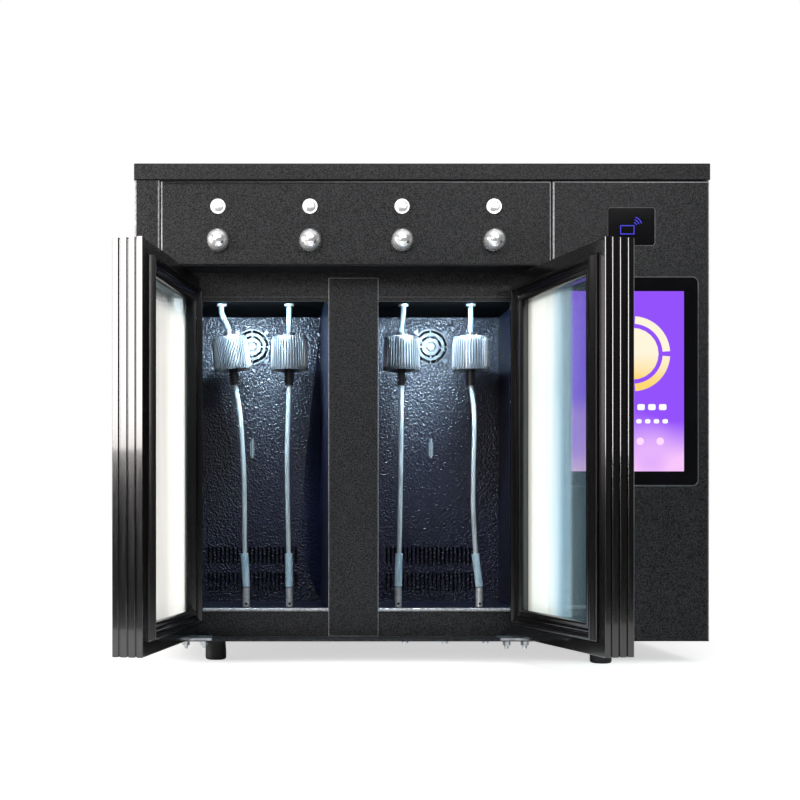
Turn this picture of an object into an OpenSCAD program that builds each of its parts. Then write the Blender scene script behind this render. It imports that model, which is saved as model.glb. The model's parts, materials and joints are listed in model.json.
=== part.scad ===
// Wine preservation dispenser: two cooled bays with glass doors, four bottle stations,
// each with a tap, a button and a stopper on a dip tube, and a touch screen at the right.
// Millimetres. X runs to the right, Y to the rear and Z up. Z = 0 is the worktop, and the
// origin is in the middle of the space that the dispenser takes with its doors open.

/* [Cabinet] */
// Width over the side panels
body_w = 690; // [660:1:760]
// Depth of the cooling stack, from the bays' rear wall to the rear panel
stack_d = 100; // [95:1:160]
// Height from the underside to the top of the lid
body_h = 574; // [565:1:640]
// Thickness of the folded steel sheet
sheet = 1.5; // [1:0.1:2]
// Outer radius of a fold in the sheet
fold_r = 2.4; // [2.2:0.1:3]
// Height of the lid's skirt
lid_h = 19.5; // [15:0.5:30]
// How far the lid stands proud of the cabinet all round
lid_over = 1; // [0.5:0.1:2]
// Width of the flange at the left front edge
flange_w = 30; // [20:1:40]
// Width of the control panel at the right
panel_w = 189; // [185:1:200]
// Height of the tap fascia
fascia_h = 102; // [98:1:120]
// Depth of the recess that the doors close into
recess_d = 44.5; // [44:0.5:50]
// Clearance between pieces that seat on each other
fit = 0.3; // [0.2:0.05:0.4]

/* [Feet] */
// Height of a foot
foot_h = 28; // [20:1:40]
// Diameter of a foot
foot_d = 26; // [20:1:40]
// From the cabinet's side to the left feet
foot_left = 95; // [60:1:120]
// From the cabinet's side to the right feet
foot_right = 125; // [90:1:130]
// From the front plane to the left front foot, and from the rear to the rear feet
foot_inset = 60; // [40:1:80]
// From the front plane to the right front foot
foot_front = 22; // [16:1:80]

/* [Bays] */
// Width of the strip between the bays
divider_w = 60.5; // [56:0.5:70]
// From the worktop side of the cabinet to the lower edge of a bay opening
sill_h = 36.8; // [34:0.1:45]
// How far the header hangs below a bay's ceiling
header_lip = 20; // [12:1:25]
// How far a bay's floor lies below its sill
floor_drop = 9.8; // [8:0.1:12]
// Depth of a bay, from the front plane to its rear wall
bay_d = 300; // [290:1:330]
// Thickness of the bay liner
liner_t = 1; // [0.8:0.1:1.5]
// Side margin between a bay's liner and the section's edge
liner_margin = 9; // [8:0.5:12]
// Height of the lower row of vent slots
slot_low_h = 27; // [20:1:30]
// Height of the upper row of vent slots
slot_high_h = 24; // [18:1:30]
// Width of a vent slot
slot_w = 3; // [2:0.1:3.5]
// Distance between vent slots
slot_pitch = 6; // [5:0.5:8]
// Width of the light in a bay
lamp_w = 70; // [40:1:170]
// From the front plane to the light in a bay
lamp_y = 104; // [60:1:120]
// Number of vent slots in a row
slot_count = 22; // [10:1:24]

/* [Doors] */
// Depth of the door frame
door_t = 33; // [30:0.5:34]
// Width of the door's frame members
rail_w = 26; // [24:0.5:30]
// Gap between a door and the cabinet beside it
door_side_gap = 1.5; // [1.4:0.1:3]
// Gap between the two doors
door_mid_gap = 3; // [2.8:0.1:5]
// Gap under the doors
door_foot_gap = 5; // [5:0.1:6]
// Gap over the doors
door_head_gap = 11; // [11:0.5:14]
// From a door's hinge edge to its pivot
pivot_in = 15; // [14.5:0.5:16]
// From the front plane back to the pivot
pivot_back = 5; // [5:0.5:6]
// How far the left door stands open at rest
left_open = 101.4; // [95:0.1:110]
// How far the right door stands open at rest
right_open = 103.3; // [95:0.1:110]
// Thickness of a glass pane
pane_t = 4; // [3:0.5:5]
// Thickness of the sealed unit of two panes
unit_t = 20; // [16:1:20]
// Diameter of the hinge pins
hinge_pin_d = 8; // [6:0.5:9]
// Radial running clearance of pins, buttons and spindles
run_gap = 0.05; // [0.03:0.01:0.08]

/* [Taps and buttons] */
// Distance between taps
tap_pitch = 110.4; // [100:0.1:114]
// From the fascia's lower edge up to the taps
tap_up = 30.5; // [28:0.5:36]
// Diameter of a tap's dome
tap_d = 25.5; // [22:0.5:30]
// From the fascia's lower edge up to the buttons
button_up = 71.5; // [66:0.5:80]
// Diameter of a button's ring
ring_d = 18; // [18:0.5:20]
// Diameter of a button
button_d = 13.4; // [12:0.1:13.6]
// How far a button travels
button_travel = 2.5; // [1.5:0.1:3]

/* [Stations] */
// From the middle of the section to the inner stations
station_in = 77; // [74:1:80]
// From the middle of the section to the outer stations
station_out = 168; // [165:1:170]
// From the front plane to the line of stoppers
station_y = 186; // [180:1:200]
// From the bay's ceiling to the top of a stopper cap
cap_drop = 44.5; // [40:0.5:60]
// Diameter of a stopper cap at its lower edge
cap_d = 51; // [46:1:54]
// How much smaller a stopper cap's radius is at its top
cap_taper = 2; // [0:0.1:3]
// Height of a stopper cap
cap_h = 45; // [35:1:50]
// Number of flutes round a stopper cap
flute_count = 40; // [24:2:48]
// Diameter of the supply tubes
supply_d = 7.5; // [6:0.5:8]
// Diameter of the dip tubes
dip_d = 6.4; // [5:0.1:8]

/* [Screen and reader] */
// Width of the screen's glass
glass_w = 163.3; // [155:0.1:175]
// Height of the screen's glass
glass_h = 250.4; // [240:0.1:270]
// Corner radius of the screen's glass
glass_r = 7; // [4:0.5:10]
// From the control panel's left edge to the screen's glass
glass_in = 11.7; // [9:0.1:13]
// From the cabinet's underside up to the screen's glass
glass_up = 187; // [170:1:220]
// Width of the reader's window
reader_w = 55.6; // [50:0.1:70]
// Height of the reader's window
reader_h = 44.7; // [40:0.1:50]
// From the control panel's left edge to the reader's window
reader_in = 67.4; // [50:0.1:80]
// From the control panel's top edge down to the reader's window
reader_down = 32.1; // [28:0.1:50]

/* [Cooling] */
// Diameter of the round grille over a bay's fan
grille_d = 51; // [49:0.1:54]
// From the bay's ceiling down to the middle of its fan
fan_down = 42.5; // [40:0.5:60]
// Size of a bay's fan
fan_s = 50; // [48:1:54]
// Distance between a bay fan's screws
fan_hole = 41; // [40:0.5:44]
// Size of the exhaust fan
exhaust_s = 120; // [110:1:124]
// Gap between the exhaust fan and the hot sinks beside it
sink_gap = 12; // [8:0.5:20]
// Size of the control board, from front to rear
board_l = 220; // [180:1:240]
// Height of the control board
board_h = 260; // [200:1:300]
// Width of the power supply
supply_w = 100; // [80:1:110]
// Length of the power supply
supply_l = 200; // [150:1:215]
// Height of the power supply
supply_h = 50; // [40:1:60]
// Length of the pressure regulator's body, from front to rear
regulator_l = 40; // [30:1:50]

/* [Hidden] */
$fn = 64;

powder_black = "#161618";
gloss_black = "#0c0c0e";
rubber_black = "#101010";
liner_grey = "#3a4046";
chrome = "#d8dadc";
steel = "#a8abae";
aluminium = "#b9bcc0";
white_nylon = "#eef0f0";
clear_tube = "#e4ecec";
glass_tint = "#9fb4c0";
board_green = "#1c5b3a";
foam_grey = "#3a3b3e";

// Levels and edges of the cabinet
body_d = bay_d + stack_d;
base_z = foot_h;
top_z = base_z + body_h;
side_x = body_w / 2;
lid_z = top_z - lid_h;
lid_gap = 2;
front_top = lid_z - lid_gap;
side_top = lid_z - 1.3;
fascia_z = front_top - fascia_h;
sec_x0 = -side_x + flange_w;
sec_x1 = side_x - panel_w;
sec_cx = (sec_x0 + sec_x1) / 2;
return_d = recess_d - fit;
floor_top = base_z + sheet;

// Doors
door_w = (sec_x1 - sec_x0 - 2 * door_side_gap - door_mid_gap) / 2;
door_z0 = base_z + door_foot_gap;
door_z1 = fascia_z - door_head_gap;
door_h = door_z1 - door_z0;
door_back = door_t - pivot_back;
door_reach = door_w - pivot_in;
pivot_x = sec_x0 + door_side_gap + pivot_in;
pin_r = hinge_pin_d / 2;
bore_r = pin_r + run_gap;
bore_deep = 10;
groove_w = 1.6;
groove_deep = 2;
groove_at = [7.6, 16.7, 25.5];
pocket_in = 6;
mitre_gap = 0.2;
unit_front = 2;

// The front plane lies so that the space taken with the doors open is centred on Y = 0
reach_front = door_reach * sin(left_open) - door_back * cos(left_open) - pivot_back;
gas_stub = 18;
front_y = (reach_front - body_d - gas_stub) / 2;

// Bays
open_x0 = sec_x0 + door_side_gap + rail_w;
open_x1 = sec_cx - divider_w / 2;
open_z0 = base_z + sill_h;
open_z1 = door_z1 - 24;
bay_x0 = sec_x0 + liner_margin;
bay_x1 = open_x1;
bay_cx = (bay_x0 + bay_x1) / 2;
bay_z0 = open_z0 - floor_drop;
bay_z1 = open_z1 + header_lip;
frame_y = recess_d;
liner_y = frame_y + sheet;
bay_back = bay_d + liner_t;
slot_low_z = bay_z0 + 14;
slot_high_z = slot_low_z + slot_low_h + 13;
fan_z = bay_z1 - fan_down;
fan_t = 15;
fan_y = bay_back + fit;
frame_top = bay_z1 + 29.5;
ceiling_t = 12.5;
foam_z1 = bay_z1 + ceiling_t;

// Cooling stack behind each bay, from the bay's rear wall to the rear panel
pocket_w = 64;
pocket_d = 30;
pocket_back = bay_back + pocket_d;
sink_w = 60;
sink_h = 76;
sink_z = fan_z - fan_s / 2 - 20 - sink_h;
module_s = 40;
module_t = 4;
rear_in = body_d - sheet;
hot_t = 25;
hot_y = rear_in - 15 - hot_t;
hot_w = 2 * (sec_cx - bay_cx - exhaust_s / 2 - sink_gap);
hot_h = 150;
module_y = hot_y - module_t;
foam_back = module_y - 0.5;
exhaust_t = 25;
exhaust_y = rear_in - exhaust_t;
exhaust_z = sink_z + sink_h / 2;

// Stations and taps
tap_z = fascia_z + tap_up;
button_z = fascia_z + button_up;
tap_x = [for (i = [0:3]) sec_cx + (i - 1.5) * tap_pitch];
station_x = [sec_cx - station_out, sec_cx - station_in, sec_cx + station_in, sec_cx + station_out];
// How far each stopper hangs to the side of its ferrule, and how far it leans
cap_shift = [13, 0, -2.5, 0];
cap_lean = [7, 0, 0, 0];
cap_top = bay_z1 - cap_drop;
cap_mid = cap_top - cap_h / 2;
spindle_r = 6;
spindle_up = 6;
bung_len = 20;
bung_r = 5.5;
tip_r = 4.8;
tip_len = 27;
tube_sides = 8;
valve_w = 22;
valve_d = 50;
valve_h = 50;
valve_y = 60;
valve_z = foam_z1 + fit;
ferrule_r = 6.4;
ferrule_bore = supply_d / 2 + 0.25;
neck_r = 5.4;

// Each dip tube's line below its bung: sideways in mm, and the share of its drop
dip_lines = [
    [[0, 0], [6, 0.12], [9.5, 0.28], [12, 0.45], [12.7, 0.62], [12.8, 0.78], [13.5, 0.9], [15, 1]],
    [[0, 0], [-1.5, 0.15], [-2.5, 0.35], [-2, 0.55], [-1, 0.75], [0, 0.9], [0.5, 1]],
    [[0, 0], [-0.3, 0.2], [-0.8, 0.36], [-1.6, 0.55], [-2.6, 0.75], [-3.8, 0.9], [-4.6, 1]],
    [[0, 0], [3.6, 0.1], [4.9, 0.2], [4, 0.35], [3.3, 0.55], [4.6, 0.72], [7.7, 0.88], [11.5, 1]]
];

// Screen, reader and electronics
panel_x0 = sec_x1 + 0.8;
glass_x = sec_x1 + glass_in;
glass_z = base_z + glass_up;
glass_proud = 0.8;
glass_t = 3;
reader_x = sec_x1 + reader_in;
reader_z = front_top - reader_down - reader_h;
reader_r = 3;
wall_x = sec_x1;
wall_t = 1.2;
inlet_x = side_x - 60;
inlet_z = base_z + 60;
gas_x = tap_x[3] + 9.9;
gas_z = foam_z1 + 40;
supply_x = sec_x1 + 30;
supply_y = 90;
board_y = 90;
board_z = base_z + 200;
regulator_y = body_d - regulator_l - 38;

// Two-dimensional outlines ------------------------------------------------------------

// A rectangle with all its corners rounded
module rounded_rect(w, h, r) {
    translate([r, 0]) square([w - 2 * r, h]);
    translate([0, r]) square([w, h - 2 * r]);
    for (x = [r, w - r], y = [r, h - r]) translate([x, y]) circle(r);
}

// A rectangle with its two upper corners rounded
module top_rounded(w, h, r) {
    square([w, h - r]);
    translate([r, 0]) square([w - 2 * r, h]);
    for (x = [r, w - r]) translate([x, h - r]) circle(r);
}

// A rectangular ring of the given member width
module ring(w, h, member) {
    difference() {
        square([w, h]);
        translate([member, member]) square([w - 2 * member, h - 2 * member]);
    }
}

// Solids --------------------------------------------------------------------------------

// A closed block whose top edges are folded over radius r, standing on Z = 0
module folded_block(w, d, h, r) {
    intersection() {
        translate([0, d, 0]) rotate([90, 0, 0]) linear_extrude(d) top_rounded(w, h, r);
        rotate([90, 0, 90]) linear_extrude(w) top_rounded(d, h, r);
    }
}

// The same block with its upright corners welded and ground round
module ground_block(w, d, h, r) {
    intersection() {
        folded_block(w, d, h, r);
        linear_extrude(h) rounded_rect(w, d, r);
    }
}

// A folded sheet pan, closed at the top and open at Z = 0
module pan(w, d, h) {
    inner_r = fold_r - sheet;
    difference() {
        folded_block(w, d, h, fold_r);
        translate([sheet, sheet, -1])
            folded_block(w - 2 * sheet, d - 2 * sheet, h - sheet + 1, inner_r);
    }
}

// The same pan standing on edge: its face looks forward and its folds run to the rear
module front_pan(x0, z0, w, h) {
    translate([x0, return_d, z0]) rotate([90, 0, 0]) pan(w, h, return_d);
}

// A round bar or bore along Y, from y0 to y1
module bar_y(x, z, y0, y1, r) {
    translate([x, y0, z]) rotate([-90, 0, 0]) cylinder(h = y1 - y0, r = r);
}

// Children drawn from the front plane
module from_front() {
    translate([0, front_y, 0]) children();
}

// Children at the left, and their mirror image about the middle of the section
module both_bays() {
    children();
    right_bay() children();
}

module right_bay() {
    translate([2 * sec_cx, 0, 0]) mirror([1, 0, 0]) children();
}

// Tubes -----------------------------------------------------------------------------------

// A point on the smooth curve through p, a share t of the way from point i to the next
function past(p, i) = p[max(0, min(len(p) - 1, i))];
function between(p, i, t) =
    let (a = past(p, i - 1), b = past(p, i), c = past(p, i + 1), d = past(p, i + 2))
    0.5 * (2 * b + (c - a) * t + (2 * a - 5 * b + 4 * c - d) * t * t
        + (3 * b - a - 3 * c + d) * t * t * t);
function smooth_line(p, steps) = concat(
    [for (i = [0:len(p) - 2], s = [0:steps - 1]) between(p, i, s / steps)], [p[len(p) - 1]]);

// The direction of a line at point i, and two directions square to it
function unit(v) = v / norm(v);
function heading(p, i) = unit(past(p, i + 1) - past(p, i - 1));
function side_of(h) = unit(cross(h, abs(h[1]) > 0.9 ? [1, 0, 0] : [0, 1, 0]));

// The ring of points round point i, and the whole tube as one solid
function tube_ring(p, i, r, sides) =
    let (h = heading(p, i), u = side_of(h), v = cross(h, u))
    [for (k = [0:sides - 1]) p[i] + r * (cos(360 * k / sides) * u + sin(360 * k / sides) * v)];
module tube(p, r, sides) {
    last = len(p) - 1;
    points = [for (i = [0:last]) each tube_ring(p, i, r, sides)];
    walls = [for (i = [0:last - 1], k = [0:sides - 1]) let (n = (k + 1) % sides)
        each [[i * sides + k, (i + 1) * sides + k, i * sides + n],
            [i * sides + n, (i + 1) * sides + k, (i + 1) * sides + n]]];
    caps = [[for (k = [0:sides - 1]) k], [for (k = [sides - 1:-1:0]) last * sides + k]];
    polyhedron(points, concat(walls, caps));
}

// Cabinet -----------------------------------------------------------------------------------

stud_r = 4;
nut_r = 7.5;
hem_d = 12;
hem_t = 3;
wall_up = 22;
bracket_w = 58;
bracket_in = 12;

// The floor of the cabinet: a folded tray with a hemmed front edge, cut away at the hinges
module base_pan() {
    w = body_w - 2 * sheet - 2 * fit;
    x0 = -w / 2;
    d = rear_in - sheet - fit;
    color(powder_black) from_front() difference() {
        union() {
            translate([x0, 0, base_z]) cube([w, d, sheet]);
            translate([sec_x0 + fit, 0, base_z]) cube([sec_x1 - sec_x0 - fit, hem_d, hem_t]);
            for (x = [x0, -x0 - sheet]) translate([x, return_d + 1, base_z])
                cube([sheet, d - return_d - 1, wall_up]);
            translate([x0, d - sheet, base_z]) cube([w, sheet, wall_up]);
        }
        both_bays() translate([pivot_x - bracket_in - fit, -1, floor_top])
            cube([bracket_w + 2 * fit, hem_d + 2, hem_t]);
        for (x = [-side_x - 1, panel_x0 - fit]) translate([x, -1, base_z - 1])
            cube([x < 0 ? flange_w + 1 + fit : body_w, return_d + fit + 1, hem_t + 2]);
        foot_places() translate([0, 0, base_z - 1]) cylinder(h = 4, r = stud_r + fit);
    }
}

// The left side with its front flange and the return that lines the recess
module left_side_panel() {
    color(powder_black) from_front() {
        translate([-side_x, 0, base_z]) linear_extrude(side_top - base_z) {
            difference() {
                top_cut = return_d + fold_r;
                translate([0, top_cut]) mirror([0, 1]) top_rounded(flange_w, top_cut, fold_r);
                translate([sheet, sheet]) square([flange_w - 2 * sheet, top_cut]);
                translate([sheet, return_d]) square([flange_w, top_cut]);
            }
            translate([0, return_d]) square([sheet, body_d - return_d]);
            translate([0, rear_in - sheet]) square([15, sheet]);
        }
        translate([-side_x + sheet, return_d, side_top - sheet])
            cube([14, rear_in - return_d - sheet, sheet]);
    }
}

// The right side, which starts behind the control panel's folded edge
module right_side_panel() {
    y0 = return_d + fit;
    color(powder_black) from_front() {
        translate([side_x - sheet, y0, base_z]) cube([sheet, body_d - y0, side_top - base_z]);
        translate([side_x - 15, rear_in - sheet, base_z]) cube([15, sheet, side_top - base_z]);
        translate([side_x - 15, y0, side_top - sheet]) cube([14, rear_in - y0 - sheet, sheet]);
    }
}

rear_w = body_w - 2 * sheet - 2 * fit;
rear_h = side_top - base_z - 4;

// The rear cover with the fan's slots, the air inlets and the openings for gas and mains
module rear_panel() {
    color(powder_black) from_front() translate([0, body_d, 0]) rotate([90, 0, 0])
        linear_extrude(sheet) difference() {
            translate([-rear_w / 2, base_z + 2]) square([rear_w, rear_h]);
            for (i = [0:2]) translate([sec_cx, exhaust_z]) arc_slots(22 + i * 14, 7);
            both_bays() for (i = [-6:6]) translate([bay_cx - 45, exhaust_z + i * 10 - 2])
                square([90, 4]);
            for (i = [0:9]) translate([supply_x + 20, base_z + 150 + i * 12]) square([80, 5]);
            translate([inlet_x - 13.7, inlet_z - 10]) square([27.4, 20]);
            translate([gas_x, gas_z]) circle(8.2);
            rear_screw_places() circle(2.2);
        }
}

// Four arcs of a slotted circle, with webs between them
module arc_slots(r, w) {
    difference() {
        circle(r + w / 2);
        circle(r - w / 2);
        for (a = [45, 135]) rotate(a) translate([-r - w, -2.5]) square([2 * (r + w), 5]);
    }
}

module rear_screw_places() {
    for (x = [-rear_w / 2 + 6, rear_w / 2 - 6], i = [0:3])
        translate([x, base_z + 40 + i * (rear_h - 80) / 3]) children();
}

tape_w = 10;

// The lid: a folded pan with inturned edges, standing on a thin strip of foam tape
module top_lid() {
    w = body_w + 2 * lid_over;
    d = body_d + 2 * lid_over;
    lip = 16;
    color(powder_black) from_front() {
        translate([-w / 2, -lid_over, lid_z]) difference() {
            ground_block(w, d, lid_h, fold_r);
            translate([sheet, sheet, sheet])
                ground_block(w - 2 * sheet, d - 2 * sheet, lid_h - 2 * sheet, fold_r - sheet);
            translate([lip, lip, -1]) cube([w - 2 * lip, d - 2 * lip, 2 * sheet]);
        }
    }
    color(rubber_black) from_front() translate([-side_x + 3, 3, side_top + 0.1])
        linear_extrude(lid_z - side_top - 0.2) ring(body_w - 6, body_d - 6, tape_w);
}

fascia_x0 = sec_x0 + 1.2;
fascia_x1 = sec_x1 - 0.8;

// The panel that carries the taps and buttons
module tap_fascia() {
    color(powder_black) from_front() difference() {
        front_pan(fascia_x0, fascia_z, fascia_x1 - fascia_x0, fascia_h);
        for (x = tap_x) {
            bar_y(x, tap_z, -1, 4, neck_r + fit);
            bar_y(x, button_z, -1, 4, ring_d / 2 - 1 + run_gap);
        }
    }
}

// The control panel, which wraps round the right front corner
module control_fascia() {
    color(powder_black) from_front() difference() {
        front_pan(panel_x0, base_z, side_x - panel_x0, front_top - base_z);
        translate([glass_x - fit, 4, glass_z - fit]) rotate([90, 0, 0]) linear_extrude(6)
            rounded_rect(glass_w + 2 * fit, glass_h + 2 * fit, glass_r + fit);
        translate([reader_x - fit, 4, reader_z - fit]) rotate([90, 0, 0]) linear_extrude(6)
            rounded_rect(reader_w + 2 * fit, reader_h + 2 * fit, reader_r + fit);
        foot_places() translate([0, 0, base_z - 1]) cylinder(h = 4, r = stud_r + fit);
    }
}

// The sheet wall between the cooled section and the electronics
module compartment_wall() {
    y0 = liner_y + fit;
    color(steel) from_front() {
        translate([wall_x, y0, floor_top])
            cube([wall_t, rear_in - 2 * (sheet + fit) - y0, side_top - 4 - floor_top]);
        translate([wall_x, y0, floor_top]) cube([14, rear_in - 3 * sheet - y0, wall_t]);
    }
}

// How far the cover strip laps over the edge of each bay's opening
strip_over = 0.5;

// The frame behind the doors, with an opening to each bay, a rolled sill and a header lip
module bay_face_frame() {
    lip_h = 5.5;
    bead_r = 2.2;
    open_w = open_x1 - open_x0;
    color(powder_black) from_front() {
        translate([0, liner_y, 0]) rotate([90, 0, 0]) linear_extrude(sheet) difference() {
            translate([sec_x0, floor_top]) square([sec_x1 - sec_x0, frame_top - floor_top]);
            both_bays() translate([open_x0, open_z0]) square([open_w, open_z1 - open_z0]);
        }
        both_bays() {
            translate([open_x0, frame_y - 1.2, open_z0 - bead_r]) rotate([0, 90, 0])
                cylinder(h = open_w - strip_over - fit, r = bead_r);
            translate([open_x0, frame_y, open_z1]) rotate([90, 0, 90]) linear_extrude(open_w)
                polygon([[0, 0], [-sheet, 0], [-0.2, lip_h], [0, lip_h]]);
        }
    }
}

// The cover strip between the bays
module divider_strip() {
    w = divider_w + 2 * strip_over;
    strip_z = floor_top + fit;
    color(powder_black) from_front() translate([sec_cx - w / 2, frame_y - fit, strip_z])
        rotate([90, 0, 0]) linear_extrude(1.2) square([w, door_z1 + 5 - strip_z]);
}

// Bays ----------------------------------------------------------------------------------------

// A bay's lining of embossed aluminium: an open box with its vents, fan hole and tube holes
module bay_liner() {
    t = liner_t;
    w = bay_x1 - bay_x0;
    y0 = liner_y + fit;
    difference() {
        translate([bay_x0 - t, y0, bay_z0 - t])
            cube([w + 2 * t, bay_back - y0, bay_z1 - bay_z0 + 2 * t]);
        translate([bay_x0, y0 - 1, bay_z0]) cube([w, bay_d - y0 + 1, bay_z1 - bay_z0]);
        for (i = [0:1]) translate([station_x[i], station_y, bay_z1 - 1])
            cylinder(h = t + 2, r = neck_r + fit);
        bar_y(bay_cx, fan_z, bay_d - 1, bay_back + 1, grille_d / 2 - 1.5);
        for (i = [0:slot_count - 1]) translate([bay_cx + (i - (slot_count - 1) / 2) * slot_pitch
            - slot_w / 2, bay_d - 1, 0]) {
            translate([0, 0, slot_low_z]) cube([slot_w, t + 2, slot_low_h]);
            translate([0, 0, slot_high_z]) cube([slot_w, t + 2, slot_high_h]);
        }
    }
}

module left_bay_liner() {
    color(liner_grey) from_front() bay_liner();
}

module right_bay_liner() {
    color(liner_grey) from_front() right_bay() bay_liner();
}

// Foam round both bays, with an air pocket behind each and a hole for each cooling block
module foam_insulation() {
    t = liner_t;
    y0 = liner_y + 0.2;
    x0 = -side_x + 2 * (sheet + fit);
    color(foam_grey) from_front() difference() {
        translate([x0, y0, floor_top + 0.1])
            cube([wall_x - 0.2 - x0, foam_back - y0, foam_z1 - floor_top - 0.1]);
        both_bays() {
            translate([bay_x0 - t, y0 - 1, bay_z0 - t])
                cube([bay_x1 - bay_x0 + 2 * t, bay_back + 1 - y0, bay_z1 - bay_z0 + 2 * t]);
            translate([bay_cx - pocket_w / 2, bay_d, sink_z - 8])
                cube([pocket_w, pocket_d + liner_t, fan_z + fan_s / 2 + 8 - sink_z]);
            translate([bay_cx - 72, bay_d, slot_low_z - 4])
                cube([144, pocket_d + liner_t, sink_z - slot_low_z - 4.2]);
            translate([bay_cx - module_s / 2 - fit, bay_d, exhaust_z - module_s / 2 - fit])
                cube([module_s + 2 * fit, body_d, module_s + 2 * fit]);
            for (i = [0:1]) translate([station_x[i], station_y, bay_z1])
                cylinder(h = ceiling_t + 4, r = neck_r + fit);
        }
        foot_places() translate([0, 0, base_z]) cylinder(h = sheet + 11, r = nut_r + 1.5);
    }
}

// A light under the ceiling of each bay, behind the header
module bay_lamps() {
    lamp_d = 12;
    lamp_t = 6;
    color(white_nylon) from_front() both_bays()
        translate([bay_cx - lamp_w / 2, lamp_y, bay_z1 - lamp_t])
            cube([lamp_w, lamp_d, lamp_t]);
}

// The lands of a fan grille: how far in from its rim each one starts and ends
grille_lands = [[0, 2], [6, 10], [13, 18]];

// The round grille in front of each bay fan: rings on four spokes round a solid middle
module fan_grilles() {
    r = grille_d / 2;
    color(steel) from_front() both_bays() translate([bay_cx, bay_d, fan_z]) rotate([90, 0, 0])
        linear_extrude(2) {
            for (land = grille_lands) difference() {
                circle(r - land[0]);
                circle(r - land[1]);
            }
            circle(r - 20.3);
            for (a = [0, 90]) rotate(a) translate([-r + 1, -1]) square([2 * r - 2, 2]);
        }
}

// A fan's square frame along Y: a bore, a hub plate and four struts
module fan_frame(s, t, hub_r) {
    bore = s / 2 - 1.5;
    difference() {
        translate([-s / 2, 0, -s / 2]) cube([s, t, s]);
        bar_y(0, 0, -1, t + 1, bore);
        for (x = [-1, 1], z = [-1, 1]) bar_y(x * s * 0.41, z * s * 0.41, -1, t + 1, s * 0.03);
    }
    bar_y(0, 0, t - 2, t, hub_r);
    bar_y(0, 0, t * 0.35, t - 2, 1.5);
    for (a = [45, 135]) rotate([0, a, 0]) translate([-bore - 0.5, t - 2, -1.2])
        cube([2 * bore + 1, 2, 2.4]);
}

// A fan's rotor: a hub on a shaft and pitched blades
module fan_rotor(s, t, hub_r, blades) {
    tip = s / 2 - 2.3;
    y0 = 1.2;
    y1 = t - 3;
    difference() {
        union() {
            bar_y(0, 0, y0, y1, hub_r);
            intersection() {
                bar_y(0, 0, y0, y1, tip);
                for (k = [0:blades - 1]) rotate([0, k * 360 / blades, 0])
                    translate([hub_r - 1, (y0 + y1) / 2, 0]) rotate([38, 0, 0])
                        translate([0, -t, -0.6]) cube([tip, 2 * t, 1.2]);
            }
        }
        bar_y(0, 0, t * 0.35 - 0.4, y1 + 1, 1.5 + run_gap);
    }
}

module fan_frames() {
    color(gloss_black) from_front() {
        both_bays() translate([bay_cx, fan_y, fan_z]) fan_frame(fan_s, fan_t, 9);
        translate([sec_cx, exhaust_y - fit, exhaust_z]) fan_frame(exhaust_s, exhaust_t, 20);
    }
}

module left_fan_rotor() {
    color(gloss_black) from_front() translate([bay_cx, fan_y, fan_z]) fan_rotor(fan_s, fan_t, 9, 7);
}

module right_fan_rotor() {
    color(gloss_black) from_front() right_bay() translate([bay_cx, fan_y, fan_z])
        fan_rotor(fan_s, fan_t, 9, 7);
}

module exhaust_fan_rotor() {
    color(gloss_black) from_front() translate([sec_cx, exhaust_y - fit, exhaust_z])
        fan_rotor(exhaust_s, exhaust_t, 20, 9);
}

// A finned sink: a base plate with fins to the front (-1) or the rear (1)
module fin_sink(w, h, base, deep, fins, way) {
    translate([-w / 2, way > 0 ? 0 : -base, -h / 2]) cube([w, base, h]);
    for (i = [0:fins - 1]) translate([-w / 2 + i * (w - 1.6) / (fins - 1),
        way > 0 ? base : -deep, -h / 2]) cube([1.6, deep - base, h]);
}

// Each bay's cold sink with its spacer block, and the hot sink behind the module
module heat_sinks() {
    cold_back = pocket_back - fit;
    color(aluminium) from_front() both_bays() {
        translate([bay_cx, cold_back, exhaust_z]) fin_sink(sink_w, sink_h, 5, 24, 9, -1);
        translate([bay_cx - module_s / 2, cold_back, exhaust_z - module_s / 2])
            cube([module_s, module_y - fit / 2 - cold_back, module_s]);
        translate([bay_cx, hot_y, exhaust_z]) fin_sink(hot_w, hot_h, 5, hot_t, 14, 1);
    }
}

module thermoelectric_modules() {
    gap = fit / 2;
    color(white_nylon) from_front() both_bays()
        translate([bay_cx - module_s / 2 + 0.1, module_y, exhaust_z - module_s / 2 + 0.1])
            cube([module_s - 0.2, module_t - gap, module_s - 0.2]);
}

// The small clip that holds each bay's temperature probe on the rear wall
module temperature_probes() {
    clip_w = 6;
    clip_h = 20;
    color(white_nylon) from_front() both_bays() {
        difference() {
            translate([bay_cx - clip_w / 2, bay_d - 7, fan_z - 157]) cube([clip_w, 7, clip_h]);
            translate([bay_cx, bay_d - 4, fan_z - 158]) cylinder(h = clip_h + 2, r = 2.1);
            translate([bay_cx - 1.2, bay_d - 8, fan_z - 158]) cube([2.4, 4, clip_h + 2]);
        }
        translate([bay_cx, bay_d - 4, fan_z - 160]) cylinder(h = clip_h + 8, r = 2);
    }
}

// Wine and gas path ---------------------------------------------------------------------------

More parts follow.
